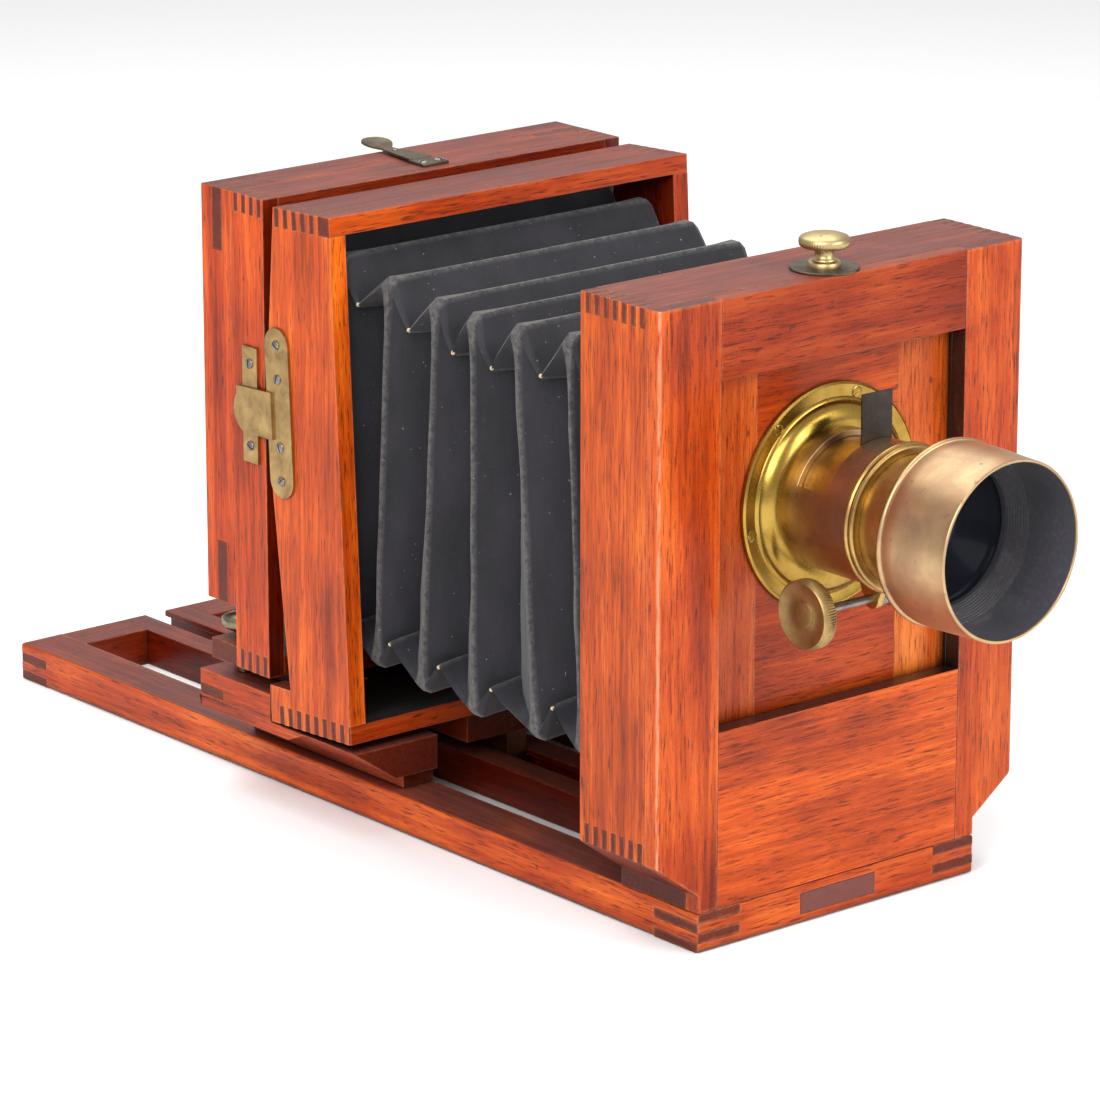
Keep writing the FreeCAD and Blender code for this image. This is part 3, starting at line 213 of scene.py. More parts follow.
def wood(name, grain="Z", seed=0, tint=(1.0, 1.0, 1.0), figure=0.5, worn=0.55, gloss=0.32, curl=0.6,
         top=TOP_DULL, rub_and_highlight_radius=0.0012, worn_highlight_edge=None):
    """Polished mahogany. grain is the axis that its fibres run along, tint multiplies its colour,
    worn says how far the faces that look up have gone to the two colours in top, and worn_highlight_edge
    is the (x, y) in metres of an upright edge whose polish has worn through and that carries a painted highlight."""
    s = Shader(name)
    random.seed(seed)
    offset = tuple(random.uniform(-5, 5) for _ in range(3))
    tilt = tuple(random.uniform(-0.03, 0.03) for _ in range(3))
    axis = "XYZ".index(grain)

    def scale(across, along):
        values = [across] * 3
        values[axis] = along
        return tuple(values)

    broad = s.noise(s.stretched(scale(46, 3.2), offset, tilt), 3.0, 0.55, curl)
    fibre = s.noise(s.stretched(scale(440, 19), offset, tilt), 6.0, 0.68, 0.3)
    pore = s.noise(s.stretched(scale(1500, 80), offset, tilt), 2.0, 0.5)
    sweep = s.noise(s.stretched(scale(520, 26), offset, tilt), 3.0, 0.6, 0.5)
    cloud = s.even(13, 3.0, 0.5, offset=offset)
    broad_share = 0.38 + figure * 0.3
    fibre_share = 0.62 - figure * 0.3
    value = s.plus(s.times(broad, broad_share), s.times(fibre, fibre_share))
    value = s.plus(value, s.times(s.math("SUBTRACT", cloud, 0.5), 0.42))
    colour = s.ramp(value, [(0.30, WOOD_DARK), (0.49, WOOD_MID), (0.68, WOOD_LIGHT)])
    pores = s.level(pore, 0.57, 0.66)
    colour = s.mix(s.times(pores, 0.80), colour, PORE)
    colour = s.mix(s.times(s.level(sweep, 0.60, 0.72), 0.45), colour, SWEEP)
    streak = s.level(s.noise(s.stretched(scale(170, 6), offset, tilt), 3.0, 0.6), 0.56, 0.74)
    colour = s.mix(s.times(streak, 0.5), colour, STREAK)
    colour = s.mix(1.0, colour, tint, "MULTIPLY")
    end = s.level(s.math("ABSOLUTE", s.facing(grain)), 0.75, 0.9)
    grit = s.even(700, 3.0, 0.6, offset=offset)
    end_colour = s.ramp(grit, [(0.3, END_DARK), (0.7, END_LIGHT)])
    colour = s.mix(s.times(end, 0.88), colour, end_colour)
    up = s.level(s.facing("Z"), 0.7, 0.95)
    patch = s.level(s.even(22, 4.0, 0.6, offset=offset), 0.25, 0.6)
    dust = s.times(up, s.plus(s.times(patch, 0.3 * worn), 0.62 * worn))
    dull = s.mix(s.level(fibre, 0.35, 0.65), *top)
    colour = s.mix(dust, colour, dull)
    lint = s.level(s.even(800, 1.0, 0.4, offset=offset), 0.74, 0.80)
    colour = s.mix(s.times(s.times(lint, up), 0.5), colour, LINT)
    stain = s.level(s.noise(s.stretched(scale(150, 80), offset), 2.0, 0.5), 0.735, 0.765)
    colour = s.mix(s.times(stain, 0.6), colour, STAIN)
    # dirt and painted shade: darker in corners and where parts meet
    dirt_and_shade = s.level(s.cavity(0.006), 0.35, 0.85)
    dirt_and_shade = s.times(s.math("SUBTRACT", 1.0, dirt_and_shade), 0.85)
    colour = s.mix(dirt_and_shade, colour, DIRT_AND_SHADE)
    # rubbed edges: wear that shows paler wood, with a painted highlight along the edge
    rub = s.level(s.edge(rub_and_highlight_radius), 0.02, 0.16)
    nick = s.level(s.even(160, 4.0, 0.65, offset=offset), 0.34, 0.60)
    colour = s.mix(s.times(s.times(rub, nick), 0.50), colour, RUBBED_AND_HIGHLIT_WOOD)
    # a pale line down one upright edge: polish worn through, with a painted highlight
    if worn_highlight_edge:
        flat = s.node("VectorMath", operation="MULTIPLY")
        s.link(s.coords.outputs["Object"], flat.inputs[0])
        flat.inputs[1].default_value = (1, 1, 0)
        away = s.node("VectorMath", operation="DISTANCE")
        s.link(flat.outputs["Vector"], away.inputs[0])
        away.inputs[1].default_value = (*worn_highlight_edge, 0)
        near = s.level(away.outputs["Value"], 0.0020, 0.0013)
        broken = s.level(s.noise(s.stretched((420, 420, 60), offset), 4.0, 0.6), 0.36, 0.52)
        colour = s.mix(s.times(s.times(near, broken), 0.50), colour, BARE_AND_HIGHLIT_WOOD)
    s.link(colour, s.bsdf.inputs["Base Color"])
    rough = s.plus(gloss - 0.04, s.times(grit, 0.14))
    rough = s.plus(rough, s.times(up, 0.10))
    s.link(rough, s.bsdf.inputs["Roughness"])
    s.set(Coat_Weight=0.07, Coat_Roughness=0.14, IOR=1.45)
    s.set(Specular_IOR_Level=0.20)
    height = s.math("SUBTRACT", s.times(fibre, 0.6), s.times(pores, 0.7))
    s.bump(height, 0.35, 0.00022)
    return s.material


def metal(name, bright, dull, dark, rough=0.3, tarnish=0.5, seed=0, spread=60, scratch=0.5):
    """Brass with a patchy patina. bright shows through dull, and dark is in the spots."""
    s = Shader(name)
    random.seed(seed)
    offset = tuple(random.uniform(-5, 5) for _ in range(3))
    cloud = s.even(spread, 5.0, 0.62, 0.4, offset=offset)
    fine = s.even(900, 4.0, 0.6, offset=offset)
    spot = s.even(230, 3.0, 0.55, offset=offset)
    colour = s.mix(s.level(cloud, 0.62 - tarnish * 0.5, 0.95 - tarnish * 0.5), bright, dull)
    colour = s.mix(s.times(s.level(spot, 0.66, 0.78), 0.7), colour, dark)
    colour = s.mix(s.times(s.level(fine, 0.62, 0.8), 0.35 * scratch), colour, dark)
    s.link(colour, s.bsdf.inputs["Base Color"])
    value = s.plus(rough - 0.08, s.times(cloud, 0.18))
    value = s.plus(value, s.times(fine, 0.08))
    s.link(value, s.bsdf.inputs["Roughness"])
    s.set(Metallic=1.0)
    s.bump(s.plus(s.times(fine, 0.5), cloud), 0.12, 0.0002)
    return s.material


def cloth(name):
    """Black bellows cloth, rubbed grey where it folds."""
    s = Shader(name)
    wear = s.node("Attribute", attribute_name="wear")
    patch = s.noise(s.stretched((55, 55, 22)), 4.0, 0.6)
    fine = s.even(1400, 3.0, 0.7)
    colour = s.mix(s.level(patch, 0.3, 0.75), (0.0085, 0.0078, 0.0105), (0.0215, 0.0195, 0.0255))
    colour = s.mix(s.times(s.level(fine, 0.45, 0.75), 0.25), colour, (0.045, 0.042, 0.05))
    specks = s.level(s.even(520, 1.0, 0.4), 0.765, 0.80)
    colour = s.mix(s.times(specks, 0.6), colour, (0.25, 0.24, 0.24))
    torn = s.level(s.even(320, 4.0, 0.7), 0.30, 0.65)
    rub = s.times(wear.outputs["Fac"], torn)
    colour = s.mix(s.times(rub, 0.55), colour, (0.17, 0.16, 0.15))
    s.link(colour, s.bsdf.inputs["Base Color"])
    s.set(Roughness=0.6, Sheen_Weight=0.12, Sheen_Roughness=0.5)
    s.set(Specular_IOR_Level=0.25)
    s.bump(s.plus(fine, s.times(patch, 1.5)), 0.25, 0.0002)
    return s.material


def plain(name, colour, rough=0.5, metallic=0.0, coat=0.0, speck=(0.5, 0.5, 0.5), amount=0.25, scale=300):
    """One colour with fine specks in it."""
    s = Shader(name)
    fine = s.even(scale, 4.0, 0.6)
    mixed = s.mix(s.times(s.level(fine, 0.5, 0.8), amount), colour, speck)
    s.link(mixed, s.bsdf.inputs["Base Color"])
    s.set(Roughness=rough, Metallic=metallic, Coat_Weight=coat)
    s.bump(fine, 0.1, 0.0001)
    return s.material


def glass(name, colour, rough, alpha):
    s = Shader(name)
    s.set(Base_Color=(*colour, 1.0), Roughness=rough, Metallic=0.0, Alpha=alpha)
    s.set(Specular_IOR_Level=0.3)
    film = s.even(40, 3.0, 0.5)
    s.bump(film, 0.02, 0.0001)
    return s.material


BRASS = metal("polished_brass", (0.42, 0.262, 0.055), (0.27, 0.162, 0.026), (0.10, 0.055, 0.015),
              rough=0.21, tarnish=0.45, seed=3, scratch=0.4)
TARNISHED = metal("tarnished_brass", (0.50, 0.33, 0.13), (0.27, 0.17, 0.075), (0.06, 0.036, 0.02),
                  rough=0.38, tarnish=0.55, seed=5, spread=90)
HOOD = metal("tan_lacquered_brass", (0.54, 0.375, 0.20), (0.37, 0.24, 0.145), (0.15, 0.085, 0.05),
             rough=0.34, seed=7, spread=42)
OLIVE = metal("olive_brass", (0.43, 0.30, 0.125), (0.27, 0.175, 0.070), (0.09, 0.06, 0.035),
              rough=0.42, seed=8, spread=90)
PATINA = metal("brown_lacquered_brass", (0.45, 0.305, 0.17), (0.28, 0.175, 0.11), (0.11, 0.06, 0.04),
               rough=0.31, tarnish=0.45, seed=7, spread=42)
GOLDEN = metal("golden_brass", (0.50, 0.33, 0.11), (0.30, 0.18, 0.065), (0.10, 0.05, 0.03),
               rough=0.28, seed=9)
BRONZE = metal("dark_bronze", (0.16, 0.12, 0.07), (0.085, 0.068, 0.05), (0.03, 0.024, 0.02),
               rough=0.42, tarnish=0.55, seed=11, spread=120)
DISH = metal("green_bronze", (0.27, 0.23, 0.14), (0.13, 0.115, 0.075), (0.03, 0.026, 0.02),
             rough=0.30, seed=12, spread=110)
STEEL = metal("old_steel", (0.30, 0.28, 0.27), (0.16, 0.145, 0.135), (0.04, 0.03, 0.025),
              rough=0.36, seed=13, spread=150)
BROWNED = metal("browned_brass", (0.20, 0.085, 0.045), (0.10, 0.038, 0.022), (0.03, 0.014, 0.01),
                rough=0.42, seed=14, spread=90)
STOP = metal("blackened_brass", (0.075, 0.06, 0.05), (0.045, 0.038, 0.034), (0.02, 0.017, 0.015),
             rough=0.42, seed=15, spread=90)
BLACK = plain("lens_black", (0.060, 0.057, 0.068), rough=0.30, coat=0.6, speck=(0.14, 0.14, 0.15),
              amount=0.4, scale=420)
RUBBED = plain("rubbed_black", (0.075, 0.066, 0.055), rough=0.35, metallic=0.5, coat=0.2,
               speck=(0.30, 0.24, 0.16), amount=0.5, scale=420)
CLOTH = cloth("bellows_cloth")
CREAM = plain("cloth_tip", (0.55, 0.42, 0.26), rough=0.8)
PLATE = plain("name_plate_brown", (0.125, 0.019, 0.009), rough=0.45, coat=0.3, speck=(0.03, 0.01, 0.006),
              amount=0.7, scale=220)
LENS_GLASS = glass("coated_glass", (0.006, 0.007, 0.012), rough=0.08, alpha=0.92)
MATT_GLASS = glass("ground_glass", (0.62, 0.66, 0.66), rough=0.55, alpha=0.82)


# ---- pieces
def finish_piece(obj, body, replaced=()):
    """Let a piece ride on its body and stand for its CAD nodes."""
    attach(obj, body)
    if replaced:
        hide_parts(*replaced)
    return obj


def link(name, data):
    """A new object in the scene."""
    obj = bpy.data.objects.new(name, data)
    bpy.context.scene.collection.objects.link(obj)
    return obj


def build(bm, name, materials, angle):
    """An object from a bmesh, with the materials given."""
    mesh = bpy.data.meshes.new(name)
    bm.to_mesh(mesh)
    bm.free()
    for item in materials:
        mesh.materials.append(item)
    obj = link(name, mesh)
    shade(obj, angle)
    return obj


def shade(obj, angle):
    """Smooth faces with sharp edges above an angle."""
    mesh = obj.data
    for polygon in mesh.polygons:
        polygon.use_smooth = True
    bm = bmesh.new()
    bm.from_mesh(mesh)
    limit = math.radians(angle)
    for edge in bm.edges:
        edge.smooth = len(edge.link_faces) == 2 and edge.calc_face_angle(0) < limit
    bm.to_mesh(mesh)
    bm.free()


WELD = 1e-6  # metres; points nearer than this are one point


def ease(obj, width, angle, segments=2, harden=False):
    """A small bevel, width in mm, on every edge sharper than angle."""
    bevel = obj.modifiers.new("eased", "BEVEL")
    bevel.width = width * MM
    bevel.segments = segments
    bevel.limit_method = "ANGLE"
    bevel.angle_limit = math.radians(angle)
    bevel.harden_normals = harden


def copied(node, name, material, width, big=(), paint=()):
    """A copy of a CAD node with eased edges. big lists (test of an edge, width in mm), and paint
    lists (test of a face's middle in mm and its normal, material)."""
    source = frame["nodes"][node].data
    bm = bmesh.new()
    bm.from_mesh(source)
    bmesh.ops.remove_doubles(bm, verts=bm.verts, dist=2 * WELD)
    bmesh.ops.dissolve_limit(bm, angle_limit=math.radians(0.6), verts=bm.verts, edges=bm.edges)
    bm.normal_update()
    for face in bm.faces:
        face.material_index = 0
        for number, (test, _) in enumerate(paint):
            if test(face.calc_center_median() / MM, face.normal):
                face.material_index = number + 1
    for test, size in big:
        chosen = [e for e in bm.edges if len(e.link_faces) == 2 and e.calc_face_angle(0) > 0.6
                  and test(e.verts[0].co / MM, e.verts[1].co / MM)]
        if chosen:
            bmesh.ops.bevel(bm, geom=chosen, offset=size * MM, segments=5, profile=0.5,
                            affect="EDGES", clamp_overlap=True)
    mesh = bpy.data.meshes.new(name)
    bm.to_mesh(mesh)
    bm.free()
    if "custom_normal" in mesh.attributes:
        mesh.attributes.remove(mesh.attributes["custom_normal"])
    for item in [material] + [made for _, made in paint]:
        mesh.materials.append(item)
    for polygon in mesh.polygons:
        polygon.use_smooth = True
    obj = link(name, mesh)
    ease(obj, width, 32, harden=True)
    return finish_piece(obj, BODY[node], [node])


AXES = {"x": (Vector((1, 0, 0)), Vector((0, 1, 0)), Vector((0, 0, 1))),
        "y": (Vector((0, 1, 0)), Vector((0, 0, 1)), Vector((1, 0, 0))),
        "z": (Vector((0, 0, 1)), Vector((1, 0, 0)), Vector((0, 1, 0)))}


def lathe(name, axis, centre, profile, material, body, slot_name, replaced=(), steps=96, smooth=30,
          ripple=None, colours=None):
    """A turned piece. profile lists (distance along the axis, radius) in mm, a closed outline.
    ripple(index of a profile point, step) gives a radius change in mm, for knurling. Where
    material is a list, colours gives the number in it for each stretch of the profile."""
    along, side, other = AXES[axis]
    origin = Vector(centre) * MM
    bm = bmesh.new()
    rings = []
    for index, (distance, radius) in enumerate(profile):
        ring = []
        for step in range(steps):
            turn = 2 * math.pi * step / steps
            r = radius + (ripple(index, step) if ripple else 0.0)
            ring.append(bm.verts.new(origin + along * distance * MM
                                     + (side * math.cos(turn) + other * math.sin(turn)) * r * MM))
        rings.append(ring)
    count = len(rings)
    for index in range(count):
        a, b = rings[index], rings[(index + 1) % count]
        for step in range(steps):
            after = (step + 1) % steps
            face = bm.faces.new((a[step], a[after], b[after], b[step]))
            if colours:
                face.material_index = colours[index]
    bmesh.ops.remove_doubles(bm, verts=bm.verts, dist=WELD)
    bmesh.ops.recalc_face_normals(bm, faces=bm.faces)
    obj = build(bm, name, material if isinstance(material, list) else [material], smooth)
    return finish_piece(obj, body, replaced)


def prism(name, outline, low, high, material, body, axis="z", replaced=(), bevel=0.3):
    """A flat plate with a given outline in mm, lying across an axis."""
    bm = bmesh.new()
    along, side, other = AXES[axis]
    verts = [bm.verts.new((side * a + other * b + along * low) * MM) for a, b in outline]
    face = bm.faces.new(verts)
    grown = bmesh.ops.extrude_face_region(bm, geom=[face])
    bmesh.ops.translate(bm, verts=[v for v in grown["geom"] if isinstance(v, bmesh.types.BMVert)],
                        vec=along * (high - low) * MM)
    bmesh.ops.recalc_face_normals(bm, faces=bm.faces)
    obj = build(bm, name, [material], 30)
    ease(obj, bevel, 40)
    return finish_piece(obj, body, replaced)


HEAD_PROFILE = ((1.0, 0.0), (1.0, 0.35), (0.86, 0.75), (0.5, 1.0))  # share of radius, of height
HEAD_STEPS = 14
SLOT_HALF = 0.17  # half a slot, share of radius
DISC_STEPS = 24


def screw_heads(name, spots, axis, sign, radius, height, material, body, replaced=(), lean=None,
                seat=None):
    """Round-headed screws with a slot. spots lists (centre of the head's foot in mm, slot angle).
    seat is the material of a dark ring round each head."""
    along, side, other = AXES[axis]
    bm = bmesh.new()

    def disc(origin, share, lift):
        """A flat face across the axis, share of the radius wide and lift mm up."""
        turns = [2 * math.pi * step / DISC_STEPS for step in range(DISC_STEPS)]
        return bm.faces.new([bm.verts.new(origin + (side * math.cos(turn) + other * math.sin(turn))
                                          * radius * share * MM + along * sign * lift * MM)
                             for turn in turns])

    for centre, angle in spots:
        origin = Vector(centre) * MM
        for half in (0, 1):
            turn0 = angle + half * math.pi
            rows = []
            for r, h in HEAD_PROFILE:
                row = []
                start = math.asin(SLOT_HALF / r)
                for step in range(HEAD_STEPS + 1):
                    t = start + (math.pi - 2 * start) * step / HEAD_STEPS
                    c, d = math.cos(t) * r, math.sin(t) * r
                    a = math.cos(turn0) * c - math.sin(turn0) * d
                    b = math.sin(turn0) * c + math.cos(turn0) * d
                    row.append(bm.verts.new(origin + (side * a + other * b) * radius * MM
                                            + along * sign * h * height * MM))
                rows.append(row)
            for low, high in zip(rows, rows[1:]):
                for i in range(len(low) - 1):
                    bm.faces.new((low[i], low[i + 1], high[i + 1], high[i]))
                bm.faces.new((low[-1], low[0], high[0], high[-1]))
            bm.faces.new(rows[-1])
            bm.faces.new(list(reversed(rows[0])))
        disc(origin, 0.97, 0.3 * height)
        if seat:
            disc(origin, 1.13, 0.04).material_index = 1
    bmesh.ops.recalc_face_normals(bm, faces=bm.faces)
    if lean:
        bmesh.ops.transform(bm, matrix=lean, verts=bm.verts)
    obj = build(bm, name, [material, seat] if seat else [material], 40)
    return finish_piece(obj, body, replaced)


# ---- wood
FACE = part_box("front_stiles")[0][1] / MM  # Y of the front box's face
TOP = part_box("front_stiles")[1][2] / MM  # height of the boxes
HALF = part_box("front_stiles")[1][0] / MM  # half their width
BED_LOW, BED_HIGH = [Vector(corner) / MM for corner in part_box("bed_side_rail_left")]
BED_TOP = BED_HIGH.z
BED_EDGE = BED_LOW.x
ON = 0.2  # mm; a point this near to a line is on it
LONG_EDGE = 30  # mm; what counts as a long upright edge
STILE_ROUND = 3.0
RAIL_ROUND = 1.8
BED_CORNER = 4.0


def upright(x):
    """The long upright edges at x on the front box's face."""
    return (lambda a, b: all(abs(v.x - x) < ON and abs(v.y - FACE) < 1 for v in (a, b))
            and abs(a.z - b.z) > LONG_EDGE, STILE_ROUND)


def along_bed(a, b):
    """Level edges along the top or the underside of the bed."""
    return all(v.z < ON or v.z > BED_TOP - ON for v in (a, b)) and abs(a.z - b.z) < ON / 2


def along_rail(x):
    """The long outer edges of a bed rail."""
    return (lambda a, b: all(abs(v.x - x) < ON for v in (a, b)) and along_bed(a, b), RAIL_ROUND)


def front_edge():
    """The edges of the bed's front rail."""
    return (lambda a, b: all(abs(v.y - FACE) < ON for v in (a, b)) and along_bed(a, b), RAIL_ROUND)


def rear_corner(x):
    """The upright corner at the rear end of a bed rail."""
    return (lambda a, b: all(abs(v.x - x) < ON and abs(v.y - BED_HIGH.y) < ON for v in (a, b)), BED_CORNER)


def inward(limit):
    """Faces that look along X from inside a pair of walls, nearer the middle than limit."""
    return lambda middle, normal: abs(normal.x) > 0.9 and abs(middle.x) < limit and normal.x * middle.x < 0


def looks(axis, sign):
    """Faces that look one way along an axis."""
    return lambda middle, normal: normal["xyz".index(axis)] * sign > 0.9


RED = (0.88, 0.72, 0.75)
BROWN = (0.66, 0.52, 0.6)
DEEP = (0.45, 0.34, 0.42)
# darker copies of the wood, for painted shade on faces that the lamps hardly reach
PAINTED_SHADE_Z = wood("shaded_upright_mahogany", "Z", 90, (0.26, 0.14, 0.2), 0.45, 0.3, 0.3)
PAINTED_SHADE_Y = wood("shaded_long_mahogany", "Y", 91, (0.26, 0.12, 0.2), 0.45, 0.3, 0.28)
PAINTED_SHADE_X = wood("shaded_cross_mahogany", "X", 92, (0.30, 0.17, 0.25), 0.45, 0.5, 0.3)
# black for the lens board's channels and the stiles' inner faces; on the lower panel's top it is painted shade
BLACK_AND_SHADE = plain("black_and_painted_shade", (0.010, 0.0055, 0.005), rough=0.28, coat=0.3, speck=(0.05, 0.035, 0.03),
            amount=0.5, scale=260)
SHADED = wood("left_cleat_mahogany", "Z", 94, (0.74, 0.68, 1.2), 0.6, 0.5, 0.25)

# faces painted darker than the rest of their board: painted shade inside the boxes, on faces that look forward
# into them and on faces that look down
INSIDE_Z = (inward(HALF - 5), PAINTED_SHADE_Z)
INSIDE_BED = (inward(-BED_EDGE - 5), PAINTED_SHADE_Y)
AHEAD_X = (looks("y", -1), PAINTED_SHADE_X)
AHEAD_Z = (looks("y", -1), PAINTED_SHADE_Z)
UNDER_X = (looks("z", -1), PAINTED_SHADE_X)

BOARDS = {
    "front_stiles": dict(grain="Z", tint=(0.85, 0.75, 0.79), gloss=0.24, figure=0.55,
                         worn_highlight_edge=(-HALF * MM, FACE * MM), big=[upright(-HALF), upright(HALF)],
                         paint=[(inward(HALF - 8), BLACK_AND_SHADE)], rub_and_highlight_radius=0.0030),
    "front_top_rail": dict(grain="X", tint=(0.54, 0.40, 0.42), gloss=0.25, figure=0.6),
    # the lower panel's top face is painted shade in black, under the lens board
    "front_lower_panel": dict(grain="X", tint=(1.06, 1.08, 1.0), gloss=0.25, figure=0.65,
                              paint=[(looks("z", 1), BLACK_AND_SHADE)]),
    "front_side_board_left": dict(grain="Z", tint=(0.95, 1.02, 0.84), figure=0.35, paint=[INSIDE_Z]),
    "front_side_board_right": dict(grain="Z", tint=RED, figure=0.4, paint=[INSIDE_Z]),
    "front_top_board": dict(grain="X", tint=(0.9, 0.85, 0.9), worn=1.0, paint=[UNDER_X]),
    "front_bottom_board": dict(grain="X", tint=DEEP),
    "front_base_block": dict(grain="X", tint=(0.28, 0.2, 0.3)),
    "lens_board": dict(grain="X", tint=(0.86, 0.76, 0.8), figure=0.75, gloss=0.25),
    "lens_board_cleats": dict(grain="Z", tint=(1.04, 1.3, 1.9), figure=0.6, gloss=0.25,
                              paint=[(lambda middle, normal: middle.x < 0, SHADED)]),
    "bed_side_rail_left": dict(grain="Y", tint=(0.98, 0.92, 0.95), worn=1.0, rub_and_highlight_radius=0.0022,
                               big=[along_rail(BED_EDGE), rear_corner(BED_EDGE)], paint=[INSIDE_BED]),
    "bed_side_rail_right": dict(grain="Y", tint=RED, worn=1.0,
                                big=[along_rail(-BED_EDGE), rear_corner(-BED_EDGE)], paint=[INSIDE_BED]),
    "bed_front_rail": dict(grain="X", tint=(0.80, 0.70, 0.85), worn=0.9, rub_and_highlight_radius=0.0022,
                           big=[front_edge()]),
    "bed_rear_rails": dict(grain="X", tint=RED, worn=1.0, paint=[AHEAD_X]),
    "bed_inner_rails": dict(grain="Y", tint=RED, worn=1.0,
                            paint=[(looks("x", -1), PAINTED_SHADE_Y), (looks("x", 1), PAINTED_SHADE_Y)]),
    "tripod_block": dict(grain="Y", tint=DEEP),
    "carriage_runners": dict(grain="Y", tint=BROWN, worn=0.95),
    "carriage_cheeks": dict(grain="Y", tint=(0.85, 0.72, 0.75), worn=1.0, paint=[(inward(HALF - 3), PAINTED_SHADE_Y)]),
    "carriage_rear_rail": dict(grain="X", tint=BROWN, worn=1.0, paint=[AHEAD_X]),
    "carriage_centre_block": dict(grain="Y", tint=DEEP),
    "back_riser": dict(grain="X", tint=DEEP, worn=0.9),
    "back_side_board_left": dict(grain="Z", tint=(1.12, 1.0, 0.76), gloss=0.3, rub_and_highlight_radius=0.0016,
                                 paint=[AHEAD_Z, INSIDE_Z]),
    "back_side_board_right": dict(grain="Z", tint=RED, paint=[AHEAD_Z, INSIDE_Z]),
    "back_top_board": dict(grain="X", tint=RED, worn=0.95, paint=[AHEAD_X, UNDER_X]),
    "back_bottom_board": dict(grain="X", tint=BROWN, worn=0.95, paint=[AHEAD_X]),
    "swing_side_board_left": dict(grain="Z", tint=(1.16, 1.2, 0.92), gloss=0.28, rub_and_highlight_radius=0.0016,
                                  paint=[INSIDE_Z]),
    "swing_side_board_right": dict(grain="Z", tint=(0.8, 0.62, 0.65), paint=[INSIDE_Z]),
    "swing_top_board": dict(grain="X", tint=(0.82, 0.66, 0.7), figure=0.5, worn=0.95, paint=[UNDER_X]),
    "swing_bottom_board": dict(grain="X", tint=(0.72, 0.52, 0.6), figure=0.5, worn=1.6, top=TOP_BLACK),
    "screen_stiles": dict(grain="Z", tint=(0.98, 0.78, 0.74), worn=0.8),
    "screen_rails": dict(grain="X", tint=(0.82, 0.72, 0.8), worn=0.95),
}
for seed, (node, look) in enumerate(BOARDS.items(), start=3):
    shape = {key: look.pop(key) for key in ("big", "paint") if key in look}
    copied(node, node + "_wood", wood(node + "_mahogany", seed=seed, **look), 0.5, **shape)
copied("lens_board_channels", "lens_board_channels_wood", BLACK_AND_SHADE, 0.4)

copied("name_plate", "blank_name_plate", PLATE, 0.3)
copied("tripod_bush", "tripod_bush_brass", TARNISHED, 0.3)
copied("carriage_tongue", "carriage_tongue_brass", BROWNED, 0.4)


# ---- lens
def middle(node):
    low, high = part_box(node)
    return [(a + b) / 2 / MM for a, b in zip(low, high)]


def quarter(steps, first=0):
    """Angles from 0 to a right angle."""
    return [math.pi / 2 * step / steps for step in range(first, steps + 1)]


def knurl(rim, high, low):
    """A ripple of fine grooves on the profile points in rim."""
    return lambda index, step: (high if step % 2 else low) if index in rim else 0.0


lens_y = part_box("lens_board")[0][1] / MM  # face of the lens board
lens_z = middle("lens_hood")[2]
AXIS = (0, lens_y, lens_z)
JACKET = 36.0  # outer radius of the lens jacket, in mm
BORE = 32.7  # its inner radius
SEAT = JACKET + 0.02  # inner radius of the flange
GLASS_RADIUS = 36.0
REAR_GLASS_RADIUS = 30.0
SCREW_CIRCLE = 52.8  # radius of the circle of flange screws
SCREWS = 6
CUT_OUT = (14.6, 35.2)  # the jacket's cut-out, from the lens board
CUT_OUT_TURN = (22.5, 157.5)  # its ends round the jacket, in degrees
RACK_SLOT_TURN = (267.5, 272.5)  # the slot that the rack runs in
THREADS = 9  # threads inside the hood


def turned(name, profile, material, body, slot_name, replaced=(), **more):
    """A piece turned on the lens axis; distances in mm in front of the lens board."""
    return lathe(name, "y", AXIS, [(-d, r) for d, r in profile], material, body, slot_name, replaced, **more)


flange = [(0.0, SEAT), (0.0, 57.4), (1.2, 57.5), (2.2, 57.3), (3.0, 56.2), (2.7, 55.4), (2.7, 50.2),
          (3.4, 49.6), (3.9, 48.6)]
flange += [(3.9 + 6.0 * math.sin(t), 48.4 - 9.6 * (1 - math.cos(t)) ** 0.8) for t in quarter(10, 1)]
flange += [(9.9, SEAT)]
turned("lens_flange_brass", flange, BRASS, "rising_front", "brass", ["lens_flange"], steps=128)

spots = []
for number in range(SCREWS):
    turn = 2 * math.pi * number / SCREWS + math.radians(12)
    spots.append(((SCREW_CIRCLE * math.cos(turn), lens_y - 2.7, lens_z + SCREW_CIRCLE * math.sin(turn)),
                  number * 1.3))
screw_heads("flange_screw_heads", spots, "y", -1, 3.0, 0.5, BRASS, "rising_front", ["flange_screws"],
            seat=RUBBED)


